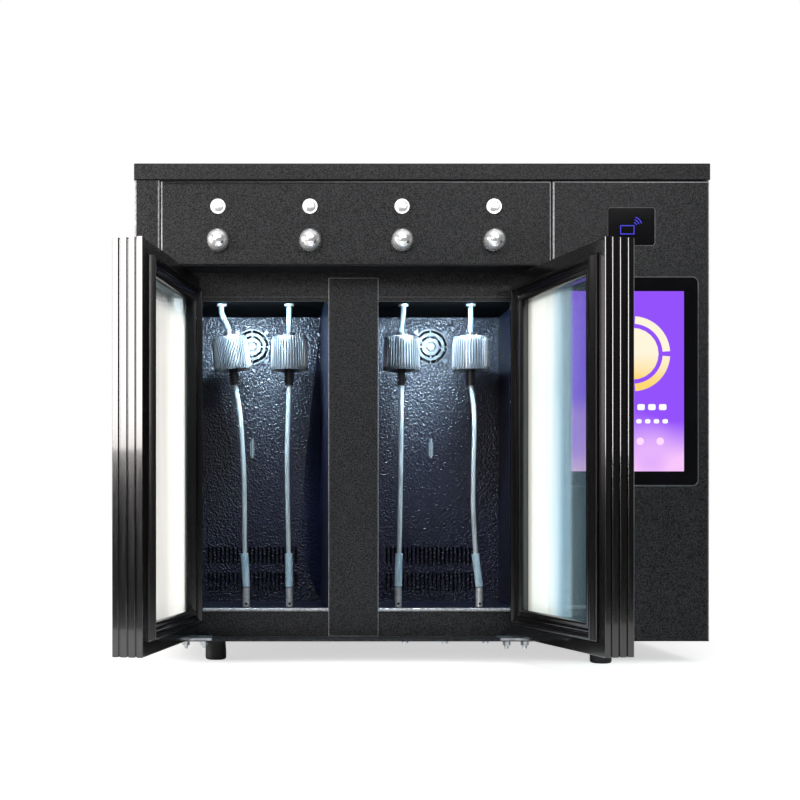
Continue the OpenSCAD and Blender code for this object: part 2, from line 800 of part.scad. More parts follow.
// A tap: a polished dome with a slanting outlet, a threaded neck through the fascia and a nut
module spout() {
    r = tap_d / 2;
    skirt = 8;
    neck_back = valve_y - 8 - fit;
    difference() {
        union() {
            rotate([90, 0, 0]) rotate_extrude() intersection() {
                union() {
                    square([r, skirt]);
                    translate([0, skirt]) circle(r);
                }
                square([r, skirt + r]);
            }
            bar_y(0, 0, -1, neck_back, neck_r);
        }
        bar_y(0, 0, -skirt, neck_back + 1, 2.5);
        translate([0, -skirt, 0]) rotate([0, 0, 31]) rotate([90 + 26, 0, 0]) cylinder(h = r + 2, r = 2.2);
    }
    translate([0, sheet + fit, 0]) rotate([-90, 0, 0]) difference() {
        cylinder(h = 5, r = 10, $fn = 6);
        translate([0, 0, -1]) cylinder(h = 7, r = neck_r + run_gap);
    }
}

module spouts() {
    color(chrome) from_front() for (x = tap_x) translate([x, 0, tap_z]) spout();
}

// A solenoid valve for each station, with a port to the tap and a coil on top
module dispense_valves() {
    color(steel) from_front() for (x = tap_x) {
        difference() {
            union() {
                translate([x - valve_w / 2, valve_y, valve_z]) cube([valve_w, valve_d, valve_h]);
                bar_y(x, tap_z, valve_y - 8, valve_y + 1, 8);
            }
            bar_y(x, tap_z, valve_y - 9, valve_y + 20, 2.5);
        }
    }
}

feed_d = 6;
gas_r = feed_d / 2 + run_gap;

// The block that shares the gas to the four valves, and the pipe that feeds it
module gas_manifold() {
    z0 = valve_z + valve_h + fit;
    y0 = valve_y + 12;
    x1 = tap_x[3] + 20;
    clear_y = valve_y + valve_d + 12;
    path = smooth_line([[x1 + fit, y0 + 10, z0 + 10], [x1 + 14, y0 + 10, z0 + 10],
        [gas_x + 4, clear_y, z0 + 9], [gas_x, clear_y + 30, z0 - 8],
        [gas_x, regulator_y - 32, gas_z], [gas_x, regulator_y - fit, gas_z]], 3);
    color(aluminium) from_front() difference() {
        translate([tap_x[0] - 20, y0, z0]) cube([x1 - tap_x[0] + 20, 20, 20]);
        for (x = tap_x) translate([x, y0 + 10, z0 - 1]) cylinder(h = 12, r = 3);
    }
    color(steel) from_front() tube(path, feed_d / 2, tube_sides);
}

// The pressure regulator: a body on the foam, a bonnet, and an inlet stub through the rear
module gas_regulator() {
    w = 36;
    h = 56;
    back = regulator_y + regulator_l;
    color(steel) from_front() difference() {
        union() {
            translate([gas_x - w / 2, regulator_y, foam_z1 + fit]) cube([w, regulator_l, h]);
            translate([gas_x, regulator_y + regulator_l / 2, foam_z1 + h]) cylinder(h = 18, r = 14);
            bar_y(gas_x, gas_z, back, body_d + gas_stub, 6);
            bar_y(gas_x, gas_z, body_d + 4, body_d + 7, 7.5);
        }
        bar_y(gas_x, gas_z, back + 10, body_d + gas_stub + 1, gas_r);
    }
}

// White sleeves that take the supply tubes through the ceiling
module tube_ferrules() {
    color(white_nylon) from_front() for (x = station_x) translate([x, station_y, bay_z1])
        difference() {
            union() {
                translate([0, 0, -2.5]) cylinder(h = 2.5, r = ferrule_r);
                cylinder(h = ceiling_t + 4, r = neck_r);
            }
            translate([0, 0, -4]) cylinder(h = ceiling_t + 9, r = ferrule_bore);
        }
}

// A frame at the middle of stopper i, leaning as it hangs
module at_stopper(i) {
    translate([station_x[i] + cap_shift[i], station_y, cap_mid]) rotate([0, -cap_lean[i], 0])
        children();
}

// The top and the bottom end of stopper i's core
function core_end(i, z) = [station_x[i] + cap_shift[i] - z * sin(cap_lean[i]), station_y,
    cap_mid + z * cos(cap_lean[i])];
function core_axis(i) = [-sin(cap_lean[i]), 0, cos(cap_lean[i])];

module supply_tube(i) {
    top = core_end(i, cap_h / 2 + spindle_up + fit);
    back = valve_y + valve_d + fit;
    rise = foam_z1 + 14;
    x = station_x[i];
    path = concat(
        [top, top + 6 * core_axis(i)],
        [for (z = [bay_z1 - 12, bay_z1, foam_z1, rise]) [x, station_y, z]],
        [[x, station_y - 8, tap_z - 6], [x, station_y - 22, tap_z],
            [tap_x[i], back + 18, tap_z], [tap_x[i], back, tap_z]]);
    tube(smooth_line(path, 2), supply_d / 2, tube_sides);
}

// The tubes from the stoppers up through the ceiling to the valves
module supply_tubes() {
    color(clear_tube) from_front() for (i = [0:3]) supply_tube(i);
}

// A stopper's core: a spindle through the cap, with a collar on top and a ribbed bung below
module stopper_plug() {
    half = cap_h / 2;
    rib = 1;
    ribs = 4;
    rib_pitch = (bung_len - 4) / ribs;
    rotate_extrude() {
        translate([0, -half - fit]) square([spindle_r, cap_h + 2 * fit]);
        translate([0, half + fit]) square([spindle_r + 1.5, spindle_up - fit]);
        translate([0, -half - bung_len]) square([bung_r, bung_len - fit]);
        for (k = [0:ribs - 1]) translate([0, -half - fit - 3 - k * rib_pitch])
            square([bung_r + rib, 1.8]);
    }
}

module stopper_plugs() {
    color(rubber_black) from_front() for (i = [0:3]) at_stopper(i) stopper_plug();
}

// A fluted, tapered cap with a hollow underside, which turns on its core
module stopper_cap(i) {
    low = cap_d / 2;
    top = low - cap_taper;
    half = cap_h / 2;
    bore = spindle_r + run_gap;
    dish = 5;
    rim = 3;
    flute_r = 1.25;
    slope = atan(cap_taper / cap_h);
    color(aluminium) from_front() at_stopper(i) difference() {
        rotate_extrude() polygon([[bore, -half + dish], [low - rim, -half], [low - 0.8, -half],
            [low, -half + 0.8], [top, half - 1.5], [top - 1.5, half], [bore, half]]);
        for (k = [0:flute_count - 1]) rotate(k * 360 / flute_count)
            translate([low + 0.35, 0, -half]) rotate([0, -slope, 0])
                translate([0, 0, -2]) cylinder(h = cap_h + 4, r = flute_r);
    }
}

module stopper_cap_1() stopper_cap(0);
module stopper_cap_2() stopper_cap(1);
module stopper_cap_3() stopper_cap(2);
module stopper_cap_4() stopper_cap(3);

// The line of dip tube i, from the bung to the floor of the bay
function dip_top(i) = core_end(i, -cap_h / 2 - bung_len - fit);
dip_foot = bay_z0 + fit + tip_len;
function dip_path(i) = smooth_line([for (q = dip_lines[i])
    [dip_top(i)[0] + q[0], station_y, dip_top(i)[2] + q[1] * (dip_foot + fit - dip_top(i)[2])]], 2);
function dip_end(i) = let (p = dip_path(i)) p[len(p) - 1];

module dip_tube(i) {
    color(clear_tube) from_front() tube(dip_path(i), dip_d / 2, tube_sides);
}

module dip_tube_1() dip_tube(0);
module dip_tube_2() dip_tube(1);
module dip_tube_3() dip_tube(2);
module dip_tube_4() dip_tube(3);

// The steel foot of each dip tube: a short weight with a hole across it and a socket on top
module dip_tube_ends() {
    color(steel) from_front() for (i = [0:3]) translate([dip_end(i)[0], station_y, bay_z0 + fit])
        difference() {
            rotate_extrude() polygon([[0, 0], [tip_r - 1, 0], [tip_r, 1], [tip_r, tip_len - 2],
                [tip_r - 1, tip_len], [0, tip_len]]);
            bar_y(0, 4.5, -tip_r - 1, tip_r + 1, 1.6);
        }
}

// Buttons -----------------------------------------------------------------------------------------

ring_proud = 1.8;
cap_deep = 6;
stem_r = 2.5;
spring_r = 4;
wire_r = 0.45;
spring_turns = 5;
cup_deep = cap_deep + button_travel + spring_turns * 2 * wire_r + 2;
spring_y0 = cap_deep + wire_r + 0.2;
spring_y1 = cup_deep - wire_r - 0.2;

// A button's housing: the ring in front, the cup through the fascia, and a nut behind
module button_housings() {
    r = button_d / 2 + run_gap;
    color(chrome) from_front() for (x = tap_x) translate([x, 0, button_z]) {
        difference() {
            union() {
                bar_y(0, 0, -ring_proud, -run_gap, ring_d / 2);
                bar_y(0, 0, -run_gap, cup_deep + 7, ring_d / 2 - 1);
            }
            bar_y(0, 0, -ring_proud - 1, cup_deep, r);
            bar_y(0, 0, cup_deep - 1, cup_deep + 8, stem_r + run_gap);
        }
        translate([0, sheet + fit, 0]) rotate([-90, 0, 0]) difference() {
            cylinder(h = 4, r = ring_d / 2 + 2, $fn = 6);
            translate([0, 0, -1]) cylinder(h = 6, r = ring_d / 2 - 1 + run_gap);
        }
    }
}

// The return spring behind each button
module button_springs() {
    rings = 8;
    path = [for (s = [0:spring_turns * rings]) [spring_r * cos(s * 360 / rings),
        spring_y0 + (spring_y1 - spring_y0) * s / (spring_turns * rings),
        spring_r * sin(s * 360 / rings)]];
    color(steel) from_front() for (x = tap_x) translate([x, 0, button_z]) tube(path, wire_r, 6);
}

module button(i) {
    r = button_d / 2;
    face = 2.4;
    color(chrome) from_front() translate([tap_x[i], 0, button_z]) {
        rotate([90, 0, 0]) rotate_extrude() polygon([[0, face + 0.5], [r * 0.4, face + 0.42],
            [r * 0.75, face + 0.2], [r - 0.5, face - 0.2], [r, face - 0.7], [r, -cap_deep],
            [stem_r, -cap_deep], [stem_r, -cup_deep - 3], [0, -cup_deep - 3]]);
    }
}

module button_1() button(0);
module button_2() button(1);
module button_3() button(2);
module button_4() button(3);

// Screen, reader and electronics ----------------------------------------------------------------

module screen_glass() {
    color(gloss_black) from_front() translate([glass_x, glass_t - glass_proud, glass_z])
        rotate([90, 0, 0]) linear_extrude(glass_t) rounded_rect(glass_w, glass_h, glass_r);
}

// The display with its driver board, bonded to the back of the glass
module display_module() {
    y0 = glass_t - glass_proud + 0.1;
    edge = 8;
    color(gloss_black) from_front() {
        translate([glass_x + edge, y0, glass_z + edge])
            cube([glass_w - 2 * edge, 9, glass_h - 2 * edge]);
        translate([glass_x + 30, y0 + 9, glass_z + 60]) cube([glass_w - 60, 10, glass_h - 120]);
    }
}

// The reader's dark window, with its board behind
module reader_window() {
    window_t = 2;
    color(gloss_black) from_front() {
        translate([reader_x, window_t + 0.2, reader_z]) rotate([90, 0, 0]) linear_extrude(window_t)
            rounded_rect(reader_w, reader_h, reader_r);
        translate([reader_x + 3, window_t + 0.4, reader_z + 3])
            cube([reader_w - 6, 6, reader_h - 6]);
    }
}

// The control board on four pillars from the compartment wall
module control_board() {
    stand = 6;
    board_t = 1.6;
    hole_in = 8;
    relays = 4;
    x0 = wall_x + wall_t + 0.1;
    x1 = x0 + stand + board_t;
    pitch = board_l / (relays + 0.6);
    color(board_green) from_front() {
        translate([x0 + stand, board_y, board_z]) cube([board_t, board_l, board_h]);
        for (y = [hole_in, board_l - hole_in], z = [hole_in, board_h - hole_in])
            translate([x0, board_y + y, board_z + z]) rotate([0, 90, 0]) cylinder(h = stand, r = 3);
        for (k = [0:relays - 1]) translate([x1, board_y + 20 + k * pitch, board_z + board_h - 50])
            cube([14, pitch - 18, 20]);
        translate([x1, board_y + 40, board_z + board_h / 4]) cube([4, 44, 44]);
        for (k = [0:2]) translate([x1, board_y + board_l - 80 + k * 22, board_z + board_h / 3])
            rotate([0, 90, 0]) cylinder(h = 20, r = 8);
    }
}

// The mains power supply on the cabinet floor, its case slotted along the top
module power_supply() {
    slots = 8;
    margin = 10;
    pitch = (supply_l - 2 * margin) / slots;
    color(aluminium) from_front() translate([supply_x, supply_y, floor_top + 0.1]) difference() {
        cube([supply_w, supply_l, supply_h]);
        for (i = [0:slots - 1]) translate([margin, margin + (i + 0.3) * pitch, supply_h - 2])
            cube([supply_w - 2 * margin, 0.4 * pitch, 4]);
    }
}

// The mains inlet, with its flange on the rear panel
module power_inlet() {
    color(gloss_black) from_front() translate([inlet_x, body_d, inlet_z]) difference() {
        union() {
            translate([-25, 0.1, -12]) cube([50, 3, 24]);
            translate([-13.5, -26, -9.8]) cube([27, 26.2, 19.6]);
        }
        translate([-12, -16, -8]) cube([24, 30, 16]);
        for (x = [-20, 20]) bar_y(x, 0, -1, 5, 1.7);
    }
    color(steel) from_front() translate([inlet_x, body_d, inlet_z])
        for (x = [-7, 0, 7]) translate([x - 1, -15.9, -1.5 + (x == 0 ? 3 : -1)]) cube([2, 14, 4]);
}

// Doors ------------------------------------------------------------------------------------------

// A door's own frame: X from the pivot to the free edge, Y to the inside of the door
module left_door() {
    from_front() translate([pivot_x, pivot_back, 0]) rotate([0, 0, -left_open]) children();
}

module right_door() {
    from_front() translate([2 * sec_cx - pivot_x, pivot_back, 0]) rotate([0, 0, right_open])
        mirror([1, 0, 0]) children();
}

// A block that goes round the whole door, in from its edge and from y0 to y1
module door_layer(edge, y0, y1) {
    translate([-pivot_in + edge, y0, door_z0 + edge])
        cube([door_w - 2 * edge, y1 - y0, door_h - 2 * edge]);
}

// A ring that goes round the whole door, from one edge distance to another
module door_ring(edge0, edge1, y0, y1) {
    difference() {
        door_layer(edge0, y0, y1);
        door_layer(edge1, y0 - 1, y1 + 1);
    }
}

// Four grooved bars, mitred at the corners, with a pocket for the glass and two hinge bores
module door_frame() {
    cut = rail_w * 1.5;
    corners = [[-pivot_in, door_z0, 45], [door_reach, door_z0, 135],
        [door_reach, door_z1, 225], [-pivot_in, door_z1, 315]];
    difference() {
        translate([-pivot_in, -pivot_back, door_z0]) linear_extrude(door_h)
            rounded_rect(door_w, door_t, 1);
        door_layer(rail_w, -pivot_back - 1, door_back + 1);
        door_layer(rail_w - pocket_in, -pivot_back + unit_front - 0.2,
            -pivot_back + unit_front + unit_t + 0.2);
        for (g = groove_at) translate([0, g - pivot_back - groove_w / 2, 0]) difference() {
            door_layer(-1, 0, groove_w);
            door_layer(groove_deep, -1, groove_w + 1);
        }
        for (c = corners) translate([c[0], 0, c[1]]) rotate([0, -c[2], 0])
            translate([-2, -pivot_back - 1, -mitre_gap / 2]) cube([cut + 2, door_t + 2, mitre_gap]);
        for (z = [door_z0 - 1, door_z1 - bore_deep]) translate([0, 0, z])
            cylinder(h = bore_deep + 1, r = bore_r);
    }
}

// A sealed unit of two panes on an aluminium spacer
module door_glazing() {
    edge = rail_w - pocket_in + 0.3;
    y0 = -pivot_back + unit_front;
    y1 = y0 + unit_t;
    door_layer(edge, y0, y0 + pane_t);
    door_layer(edge, y1 - pane_t, y1);
    door_ring(edge + 1, edge + 9, y0 + pane_t + 0.1, y1 - pane_t - 0.1);
}

gasket_in = 15;
gasket_w = 20;
crest = 9;

// The bellows gasket: a base, a magnet ridge and a lower inner ridge
module door_gasket() {
    y0 = door_back + 0.1;
    door_ring(gasket_in, gasket_in + gasket_w, y0, y0 + 2);
    door_ring(gasket_in + 1, gasket_in + 6.5, y0 + 1, y0 + crest);
    door_ring(gasket_in + 14, gasket_in + gasket_w, y0 + 1, y0 + crest - 4);
}

module left_door_frame() color(gloss_black) left_door() door_frame();
module right_door_frame() color(gloss_black) right_door() door_frame();
module left_door_glazing() color(glass_tint) left_door() door_glazing();
module right_door_glazing() color(glass_tint) right_door() door_glazing();
module left_door_gasket() color(rubber_black) left_door() door_gasket();
module right_door_gasket() color(rubber_black) right_door() door_gasket();

plate_t = 2.8;
bolt_at = [14, 36];
bolt_out = 9.5;
arm_z = door_z1 + 3;

// Steel plates that hold the pins: one on the floor pan, one from the face frame, at each hinge
module hinge_brackets() {
    color(steel) from_front() both_bays() translate([pivot_x, 0, 0]) {
        difference() {
            translate([-bracket_in, -3, floor_top]) cube([bracket_w, 30, plate_t]);
            translate([0, pivot_back, floor_top - 1]) cylinder(h = plate_t + 2, r = pin_r + 0.02);
        }
        difference() {
            union() {
                translate([-bracket_in, -3, arm_z]) cube([2 * bracket_in, return_d + 3, plate_t]);
                translate([-bracket_in, return_d - 2, arm_z - 14]) cube([2 * bracket_in, 2, 15]);
            }
            translate([0, pivot_back, arm_z - 1]) cylinder(h = plate_t + 2, r = pin_r + 0.02);
        }
    }
}

// The pins: the lower ones stand on a shoulder, the upper ones hang from a head
module hinge_pins() {
    color(chrome) from_front() both_bays() translate([pivot_x, pivot_back, 0]) {
        translate([0, 0, floor_top]) cylinder(h = door_z0 + bore_deep - 0.5 - floor_top, r = pin_r);
        translate([0, 0, floor_top + plate_t + 0.02])
            cylinder(h = door_z0 - 0.2 - floor_top - plate_t - 0.02, r = pin_r + 2.5);
        translate([0, 0, door_z1 - bore_deep + 0.5])
            cylinder(h = arm_z + plate_t - door_z1 + bore_deep - 0.5, r = pin_r);
        translate([0, 0, arm_z + plate_t + 0.02]) cylinder(h = 2, r = pin_r + 2);
    }
}

// Feet and screws -----------------------------------------------------------------------------------

module foot_places() {
    right = side_x - foot_right;
    back = body_d - foot_inset;
    for (at = [[-side_x + foot_left, foot_inset], [-side_x + foot_left, back], [right, foot_front],
        [right, back]]) translate([at[0], at[1], 0]) children();
}

// Moulded feet on threaded studs, each held by a nut inside the cabinet
module feet() {
    r = foot_d / 2;
    collar = 8;
    stud_top = foot_h + sheet + 9;
    color(rubber_black) from_front() foot_places() {
        rotate_extrude() polygon([[0, 0], [r - 2.4, 0], [r - 0.8, 0.8], [r, 2.6], [r, 9],
            [r - 1, foot_h - collar + 3], [r - 1, foot_h - 1.2], [r - 2, foot_h - fit],
            [stud_r, foot_h - fit], [stud_r, stud_top], [0, stud_top]]);
        translate([0, 0, floor_top + 0.1]) difference() {
            cylinder(h = 6.5, r = nut_r, $fn = 6);
            translate([0, 0, -1]) cylinder(h = 9, r = stud_r + 0.03);
        }
    }
}

// The grille screws, the rear panel's screws and the screws under the front edge
module cover_screws() {
    color(steel) from_front() {
        both_bays() for (x = [-1, 1], z = [-1, 1])
            bar_y(bay_cx + x * fan_hole / 2, fan_z + z * fan_hole / 2, bay_d - 2, bay_d - 0.1, 3);
        translate([0, body_d + 0.1, 0]) rotate([90, 0, 0]) mirror([0, 0, 1]) linear_extrude(2)
            rear_screw_places() circle(3.6);
        for (x = [60, 108, 157]) translate([sec_cx + x, 8, base_z - 2.6]) cylinder(h = 2.5, r = 3.6);
        // The bolts that clamp each lower hinge plate, with their nuts and ends under the pan
        both_bays() for (x = bolt_at) translate([pivot_x + x, 12, base_z]) {
            translate([0, 0, -bolt_out]) cylinder(h = bolt_out - 0.1, r = 2.5);
            translate([0, 0, -5.6]) cylinder(h = 5.5, r = 4.8, $fn = 6);
        }
    }
}

base_pan();
left_side_panel();
right_side_panel();
rear_panel();
top_lid();
tap_fascia();
control_fascia();
compartment_wall();
bay_face_frame();
divider_strip();
left_bay_liner();
right_bay_liner();
foam_insulation();
bay_lamps();
fan_grilles();
fan_frames();
left_fan_rotor();
right_fan_rotor();
exhaust_fan_rotor();
heat_sinks();
thermoelectric_modules();
dispense_valves();
gas_manifold();
gas_regulator();
spouts();
tube_ferrules();
supply_tubes();
stopper_plugs();
stopper_cap_1();
stopper_cap_2();
stopper_cap_3();
stopper_cap_4();
dip_tube_1();
dip_tube_2();
dip_tube_3();
dip_tube_4();
dip_tube_ends();
temperature_probes();
button_housings();
button_springs();
button_1();
button_2();
button_3();
button_4();
screen_glass();
display_module();
reader_window();
control_board();
power_supply();
power_inlet();
left_door_frame();
left_door_glazing();
left_door_gasket();
right_door_frame();
right_door_glazing();
right_door_gasket();
hinge_brackets();
hinge_pins();
feet();
cover_screws();
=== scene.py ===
import json
from math import atan2, cos, hypot, pi, radians, sin

import bmesh
import bpy
from mathutils import Matrix, Vector


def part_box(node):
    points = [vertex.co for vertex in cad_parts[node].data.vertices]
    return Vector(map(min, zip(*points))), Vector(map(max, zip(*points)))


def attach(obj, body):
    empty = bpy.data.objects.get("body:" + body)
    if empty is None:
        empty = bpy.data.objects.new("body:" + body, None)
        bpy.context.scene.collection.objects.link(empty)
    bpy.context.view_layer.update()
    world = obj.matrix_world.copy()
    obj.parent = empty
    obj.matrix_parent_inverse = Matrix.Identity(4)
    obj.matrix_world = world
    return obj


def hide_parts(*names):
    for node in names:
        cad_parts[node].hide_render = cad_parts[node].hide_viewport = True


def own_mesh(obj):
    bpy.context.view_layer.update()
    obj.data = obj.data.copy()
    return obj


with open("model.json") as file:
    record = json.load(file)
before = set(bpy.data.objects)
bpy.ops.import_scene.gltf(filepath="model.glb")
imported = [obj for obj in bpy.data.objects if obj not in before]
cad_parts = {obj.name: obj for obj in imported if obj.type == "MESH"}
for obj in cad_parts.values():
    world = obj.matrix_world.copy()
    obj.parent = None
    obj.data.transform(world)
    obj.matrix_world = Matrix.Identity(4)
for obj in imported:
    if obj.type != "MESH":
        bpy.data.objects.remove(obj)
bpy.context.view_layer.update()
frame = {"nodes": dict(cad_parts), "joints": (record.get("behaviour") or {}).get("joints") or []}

# --- Camera -----------------------------------------------------------------------------
# It stands level in front of the left bay, a metre and a half from the front plane, and
# its lens is shifted up and to the right so that the whole cabinet is in the frame.
mm = 0.001
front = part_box("tap_fascia")[0].y
camera = bpy.data.objects.new("camera", bpy.data.cameras.new("camera"))
camera.location = (-185 * mm, front - 1500 * mm, 183.4 * mm)
camera.rotation_euler = (pi / 2, 0, 0)
camera.data.lens = 56.25
camera.data.sensor_width = 36
camera.data.shift_x = 0.165
camera.data.shift_y = 0.14
camera.data.clip_start = 0.05
bpy.context.scene.collection.objects.link(camera)
bpy.context.scene.camera = camera
bpy.context.scene.view_settings.view_transform = "Standard"

# --- Dip tubes --------------------------------------------------------------------------
# Four flexible tubes of milky plastic are pushed into the stoppers' bungs and hang down.
# Each has a clear sleeve over its lower end, and a short steel foot that weighs it down.
tube_d = 6.4
bung_end = 42.8
tube_low = 82.6
foot_r = 4.8
foot_h = 27
foot_gap = 0.3
eye_r = 1.7
eye_h = 4.5
sleeve_r = 5.2
sleeve_h = 45
sleeve_bore = tube_d / 2 + 0.1
cap_joints = [joint for joint in frame["joints"] if joint["name"].startswith("stopper_cap")]
# Each tube from its stopper down: mm to the right, at what share of the way down
tube_lines = [
    [[0, 0], [6, 0.12], [9.5, 0.28], [12, 0.45], [12.7, 0.62], [12.8, 0.78], [13.5, 0.9],
     [15, 1]],
    [[0, 0], [-1.5, 0.15], [-2.5, 0.35], [-2, 0.55], [-1, 0.75], [0, 0.9], [0.5, 1]],
    [[0, 0], [-0.3, 0.2], [-0.8, 0.36], [-1.6, 0.55], [-2.6, 0.75], [-3.8, 0.9], [-4.6, 1]],
    [[0, 0], [3.6, 0.1], [4.9, 0.2], [4, 0.35], [3.3, 0.55], [4.6, 0.72], [7.7, 0.88],
     [11.5, 1]],
]
curve_steps = 3
# A foot from the pin in its bore outwards, and a sleeve, as (radius, height) in mm
foot_outline = [
    (0, 0), (1.4, 0), (1.4, 9), (2.2, 10), (2.2, 0.4), (foot_r - 0.8, 0), (foot_r, 0.9),
    (foot_r, 7), (foot_r - 0.35, 7.4), (foot_r, 7.8), (foot_r, foot_h - 1.4),
    (foot_r - 1, foot_h - foot_gap), (0, foot_h - foot_gap)]
sleeve_outline = [
    (sleeve_bore, 0.4), (sleeve_r - 0.3, 0), (sleeve_r, 0.5), (sleeve_r, sleeve_h - 0.5),
    (sleeve_r - 0.3, sleeve_h), (sleeve_bore, sleeve_h)]


def linear(hex_code):
    """The linear colour of an sRGB hex code."""
    parts = [int(hex_code[i:i + 2], 16) / 255 for i in (1, 3, 5)]
    return [c / 12.92 if c < 0.04045 else ((c + 0.055) / 1.055) ** 2.4 for c in parts] + [1]


def add(tree, kind, inputs=None, **settings):
    """Adds a shader node, with its settings, and its sockets set or linked."""
    made = tree.nodes.new("ShaderNode" + kind)
    for name, value in settings.items():
        setattr(made, name, value)
    for name, value in (inputs or {}).items():
        if isinstance(value, bpy.types.NodeSocket):
            tree.links.new(value, made.inputs[name])
        else:
            made.inputs[name].default_value = value
    return made


def finish(name, inputs):
    """A new material around one Principled shader: the material, its tree and its shader."""
    material = bpy.data.materials.new(name)
    material.use_nodes = True
    tree = material.node_tree
    tree.nodes.clear()
    shader = add(tree, "BsdfPrincipled", inputs)
    add(tree, "OutputMaterial", {"Surface": shader.outputs[0]})
    return material, tree, shader


def grain(tree, shader, size, bump, dark, light, detail=2.0, stretch=(1, 1, 1), height=0.2,
          soft=0.15):
    """A grain of a real size in mm, as two colours and a bump of that height in mm.

    A small stretch draws it out along an axis, and soft is how gently the colours change."""
    place = add(tree, "TexCoord")
    scaled = add(tree, "Mapping", {"Vector": place.outputs["Object"], "Scale": stretch})
    noise = add(tree, "TexNoise", {"Vector": scaled.outputs[0], "Scale": 1 / (size * mm),
                                   "Detail": detail, "Roughness": 0.6})
    ramp = add(tree, "ValToRGB", {"Fac": noise.outputs["Fac"]})
    # The noise runs from 0 to 1, and the two colours meet just over its middle
    ramp.color_ramp.elements[0].position = 0.51 - soft
    ramp.color_ramp.elements[1].position = 0.51 + soft
    ramp.color_ramp.elements[0].color = linear(dark)
    ramp.color_ramp.elements[1].color = linear(light)
    lumps = add(tree, "Bump", {"Height": noise.outputs["Fac"], "Strength": bump,
                               "Distance": height * mm})
    tree.links.new(ramp.outputs["Color"], shader.inputs["Base Color"])
    tree.links.new(lumps.outputs[0], shader.inputs["Normal"])
    return noise


def piece(name, bm, material, body, sharp=30):
    """A bmesh becomes a piece that rides on a body, with hard edges over so many degrees."""
    mesh = bpy.data.meshes.new(name)
    bm.to_mesh(mesh)
    bm.free()
    mesh.materials.append(material)
    mesh.shade_smooth()
    mesh.set_sharp_from_angle(angle=radians(sharp))
    made = bpy.data.objects.new(name, mesh)
    bpy.context.scene.collection.objects.link(made)
    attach(made, body)
    return made


def curve_point(points, index, share):
    """A point on the smooth curve through the points, as the solids' own route has it."""
    last = len(points) - 1
    a, b, c, d = [Vector(points[max(0, min(last, index + k))]) for k in (-1, 0, 1, 2)]
    return 0.5 * (2 * b + (c - a) * share + (2 * a - 5 * b + 4 * c - d) * share ** 2
                  + (3 * b - a - 3 * c + d) * share ** 3)


def turned(profile, steps=48):
    """A solid turned about Z from its (radius, height) outline in mm."""
    bm = bmesh.new()
    line = [bm.verts.new((r * mm, 0, z * mm)) for r, z in profile]
    edges = [bm.edges.new(pair) for pair in zip(line, line[1:])]
    bmesh.ops.spin(bm, geom=line + edges, axis=(0, 0, 1), cent=(0, 0, 0), angle=2 * pi,
                   steps=steps, use_merge=True)
    bmesh.ops.remove_doubles(bm, verts=bm.verts, dist=0.01 * mm)
    bmesh.ops.recalc_face_normals(bm, faces=bm.faces)
    return bm


# PTFE, extruded: milky, with a waxy skin and faint streaks along the tube.
milky, tree, shader = finish("extruded_ptfe_tube", {
    "Roughness": 0.2, "IOR": 1.38, "Coat Weight": 0.6, "Coat Roughness": 0.08})
grain(tree, shader, 3.5, 0.08, "#8d9496", "#b4bbbc", stretch=(1, 1, 0.08))

# PVC sleeve: clear and slightly blue, thick enough to look glassy at its edges.
clear_pvc, tree, shader = finish("clear_pvc_sleeve", {
    "Roughness": 0.12, "Transmission Weight": 0.2, "IOR": 1.45, "Coat Weight": 0.5})
grain(tree, shader, 5, 0.05, "#9dbccb", "#cfe3ec", stretch=(1, 1, 0.2))

# Stainless steel, turned: the tool leaves fine rings across the axis.
turned_steel, tree, shader = finish("turned_stainless_steel", {
    "Metallic": 0.55, "Roughness": 0.3})
grain(tree, shader, 0.9, 0.12, "#b9bcbf", "#e9ebec", stretch=(0.1, 0.1, 1))

# A drilled hole that no light gets into: a dead black dot.
cavity, tree, shader = finish("shadow_in_a_bore", {"Roughness": 0.9})
grain(tree, shader, 1, 0.1, "#050505", "#0b0b0b")

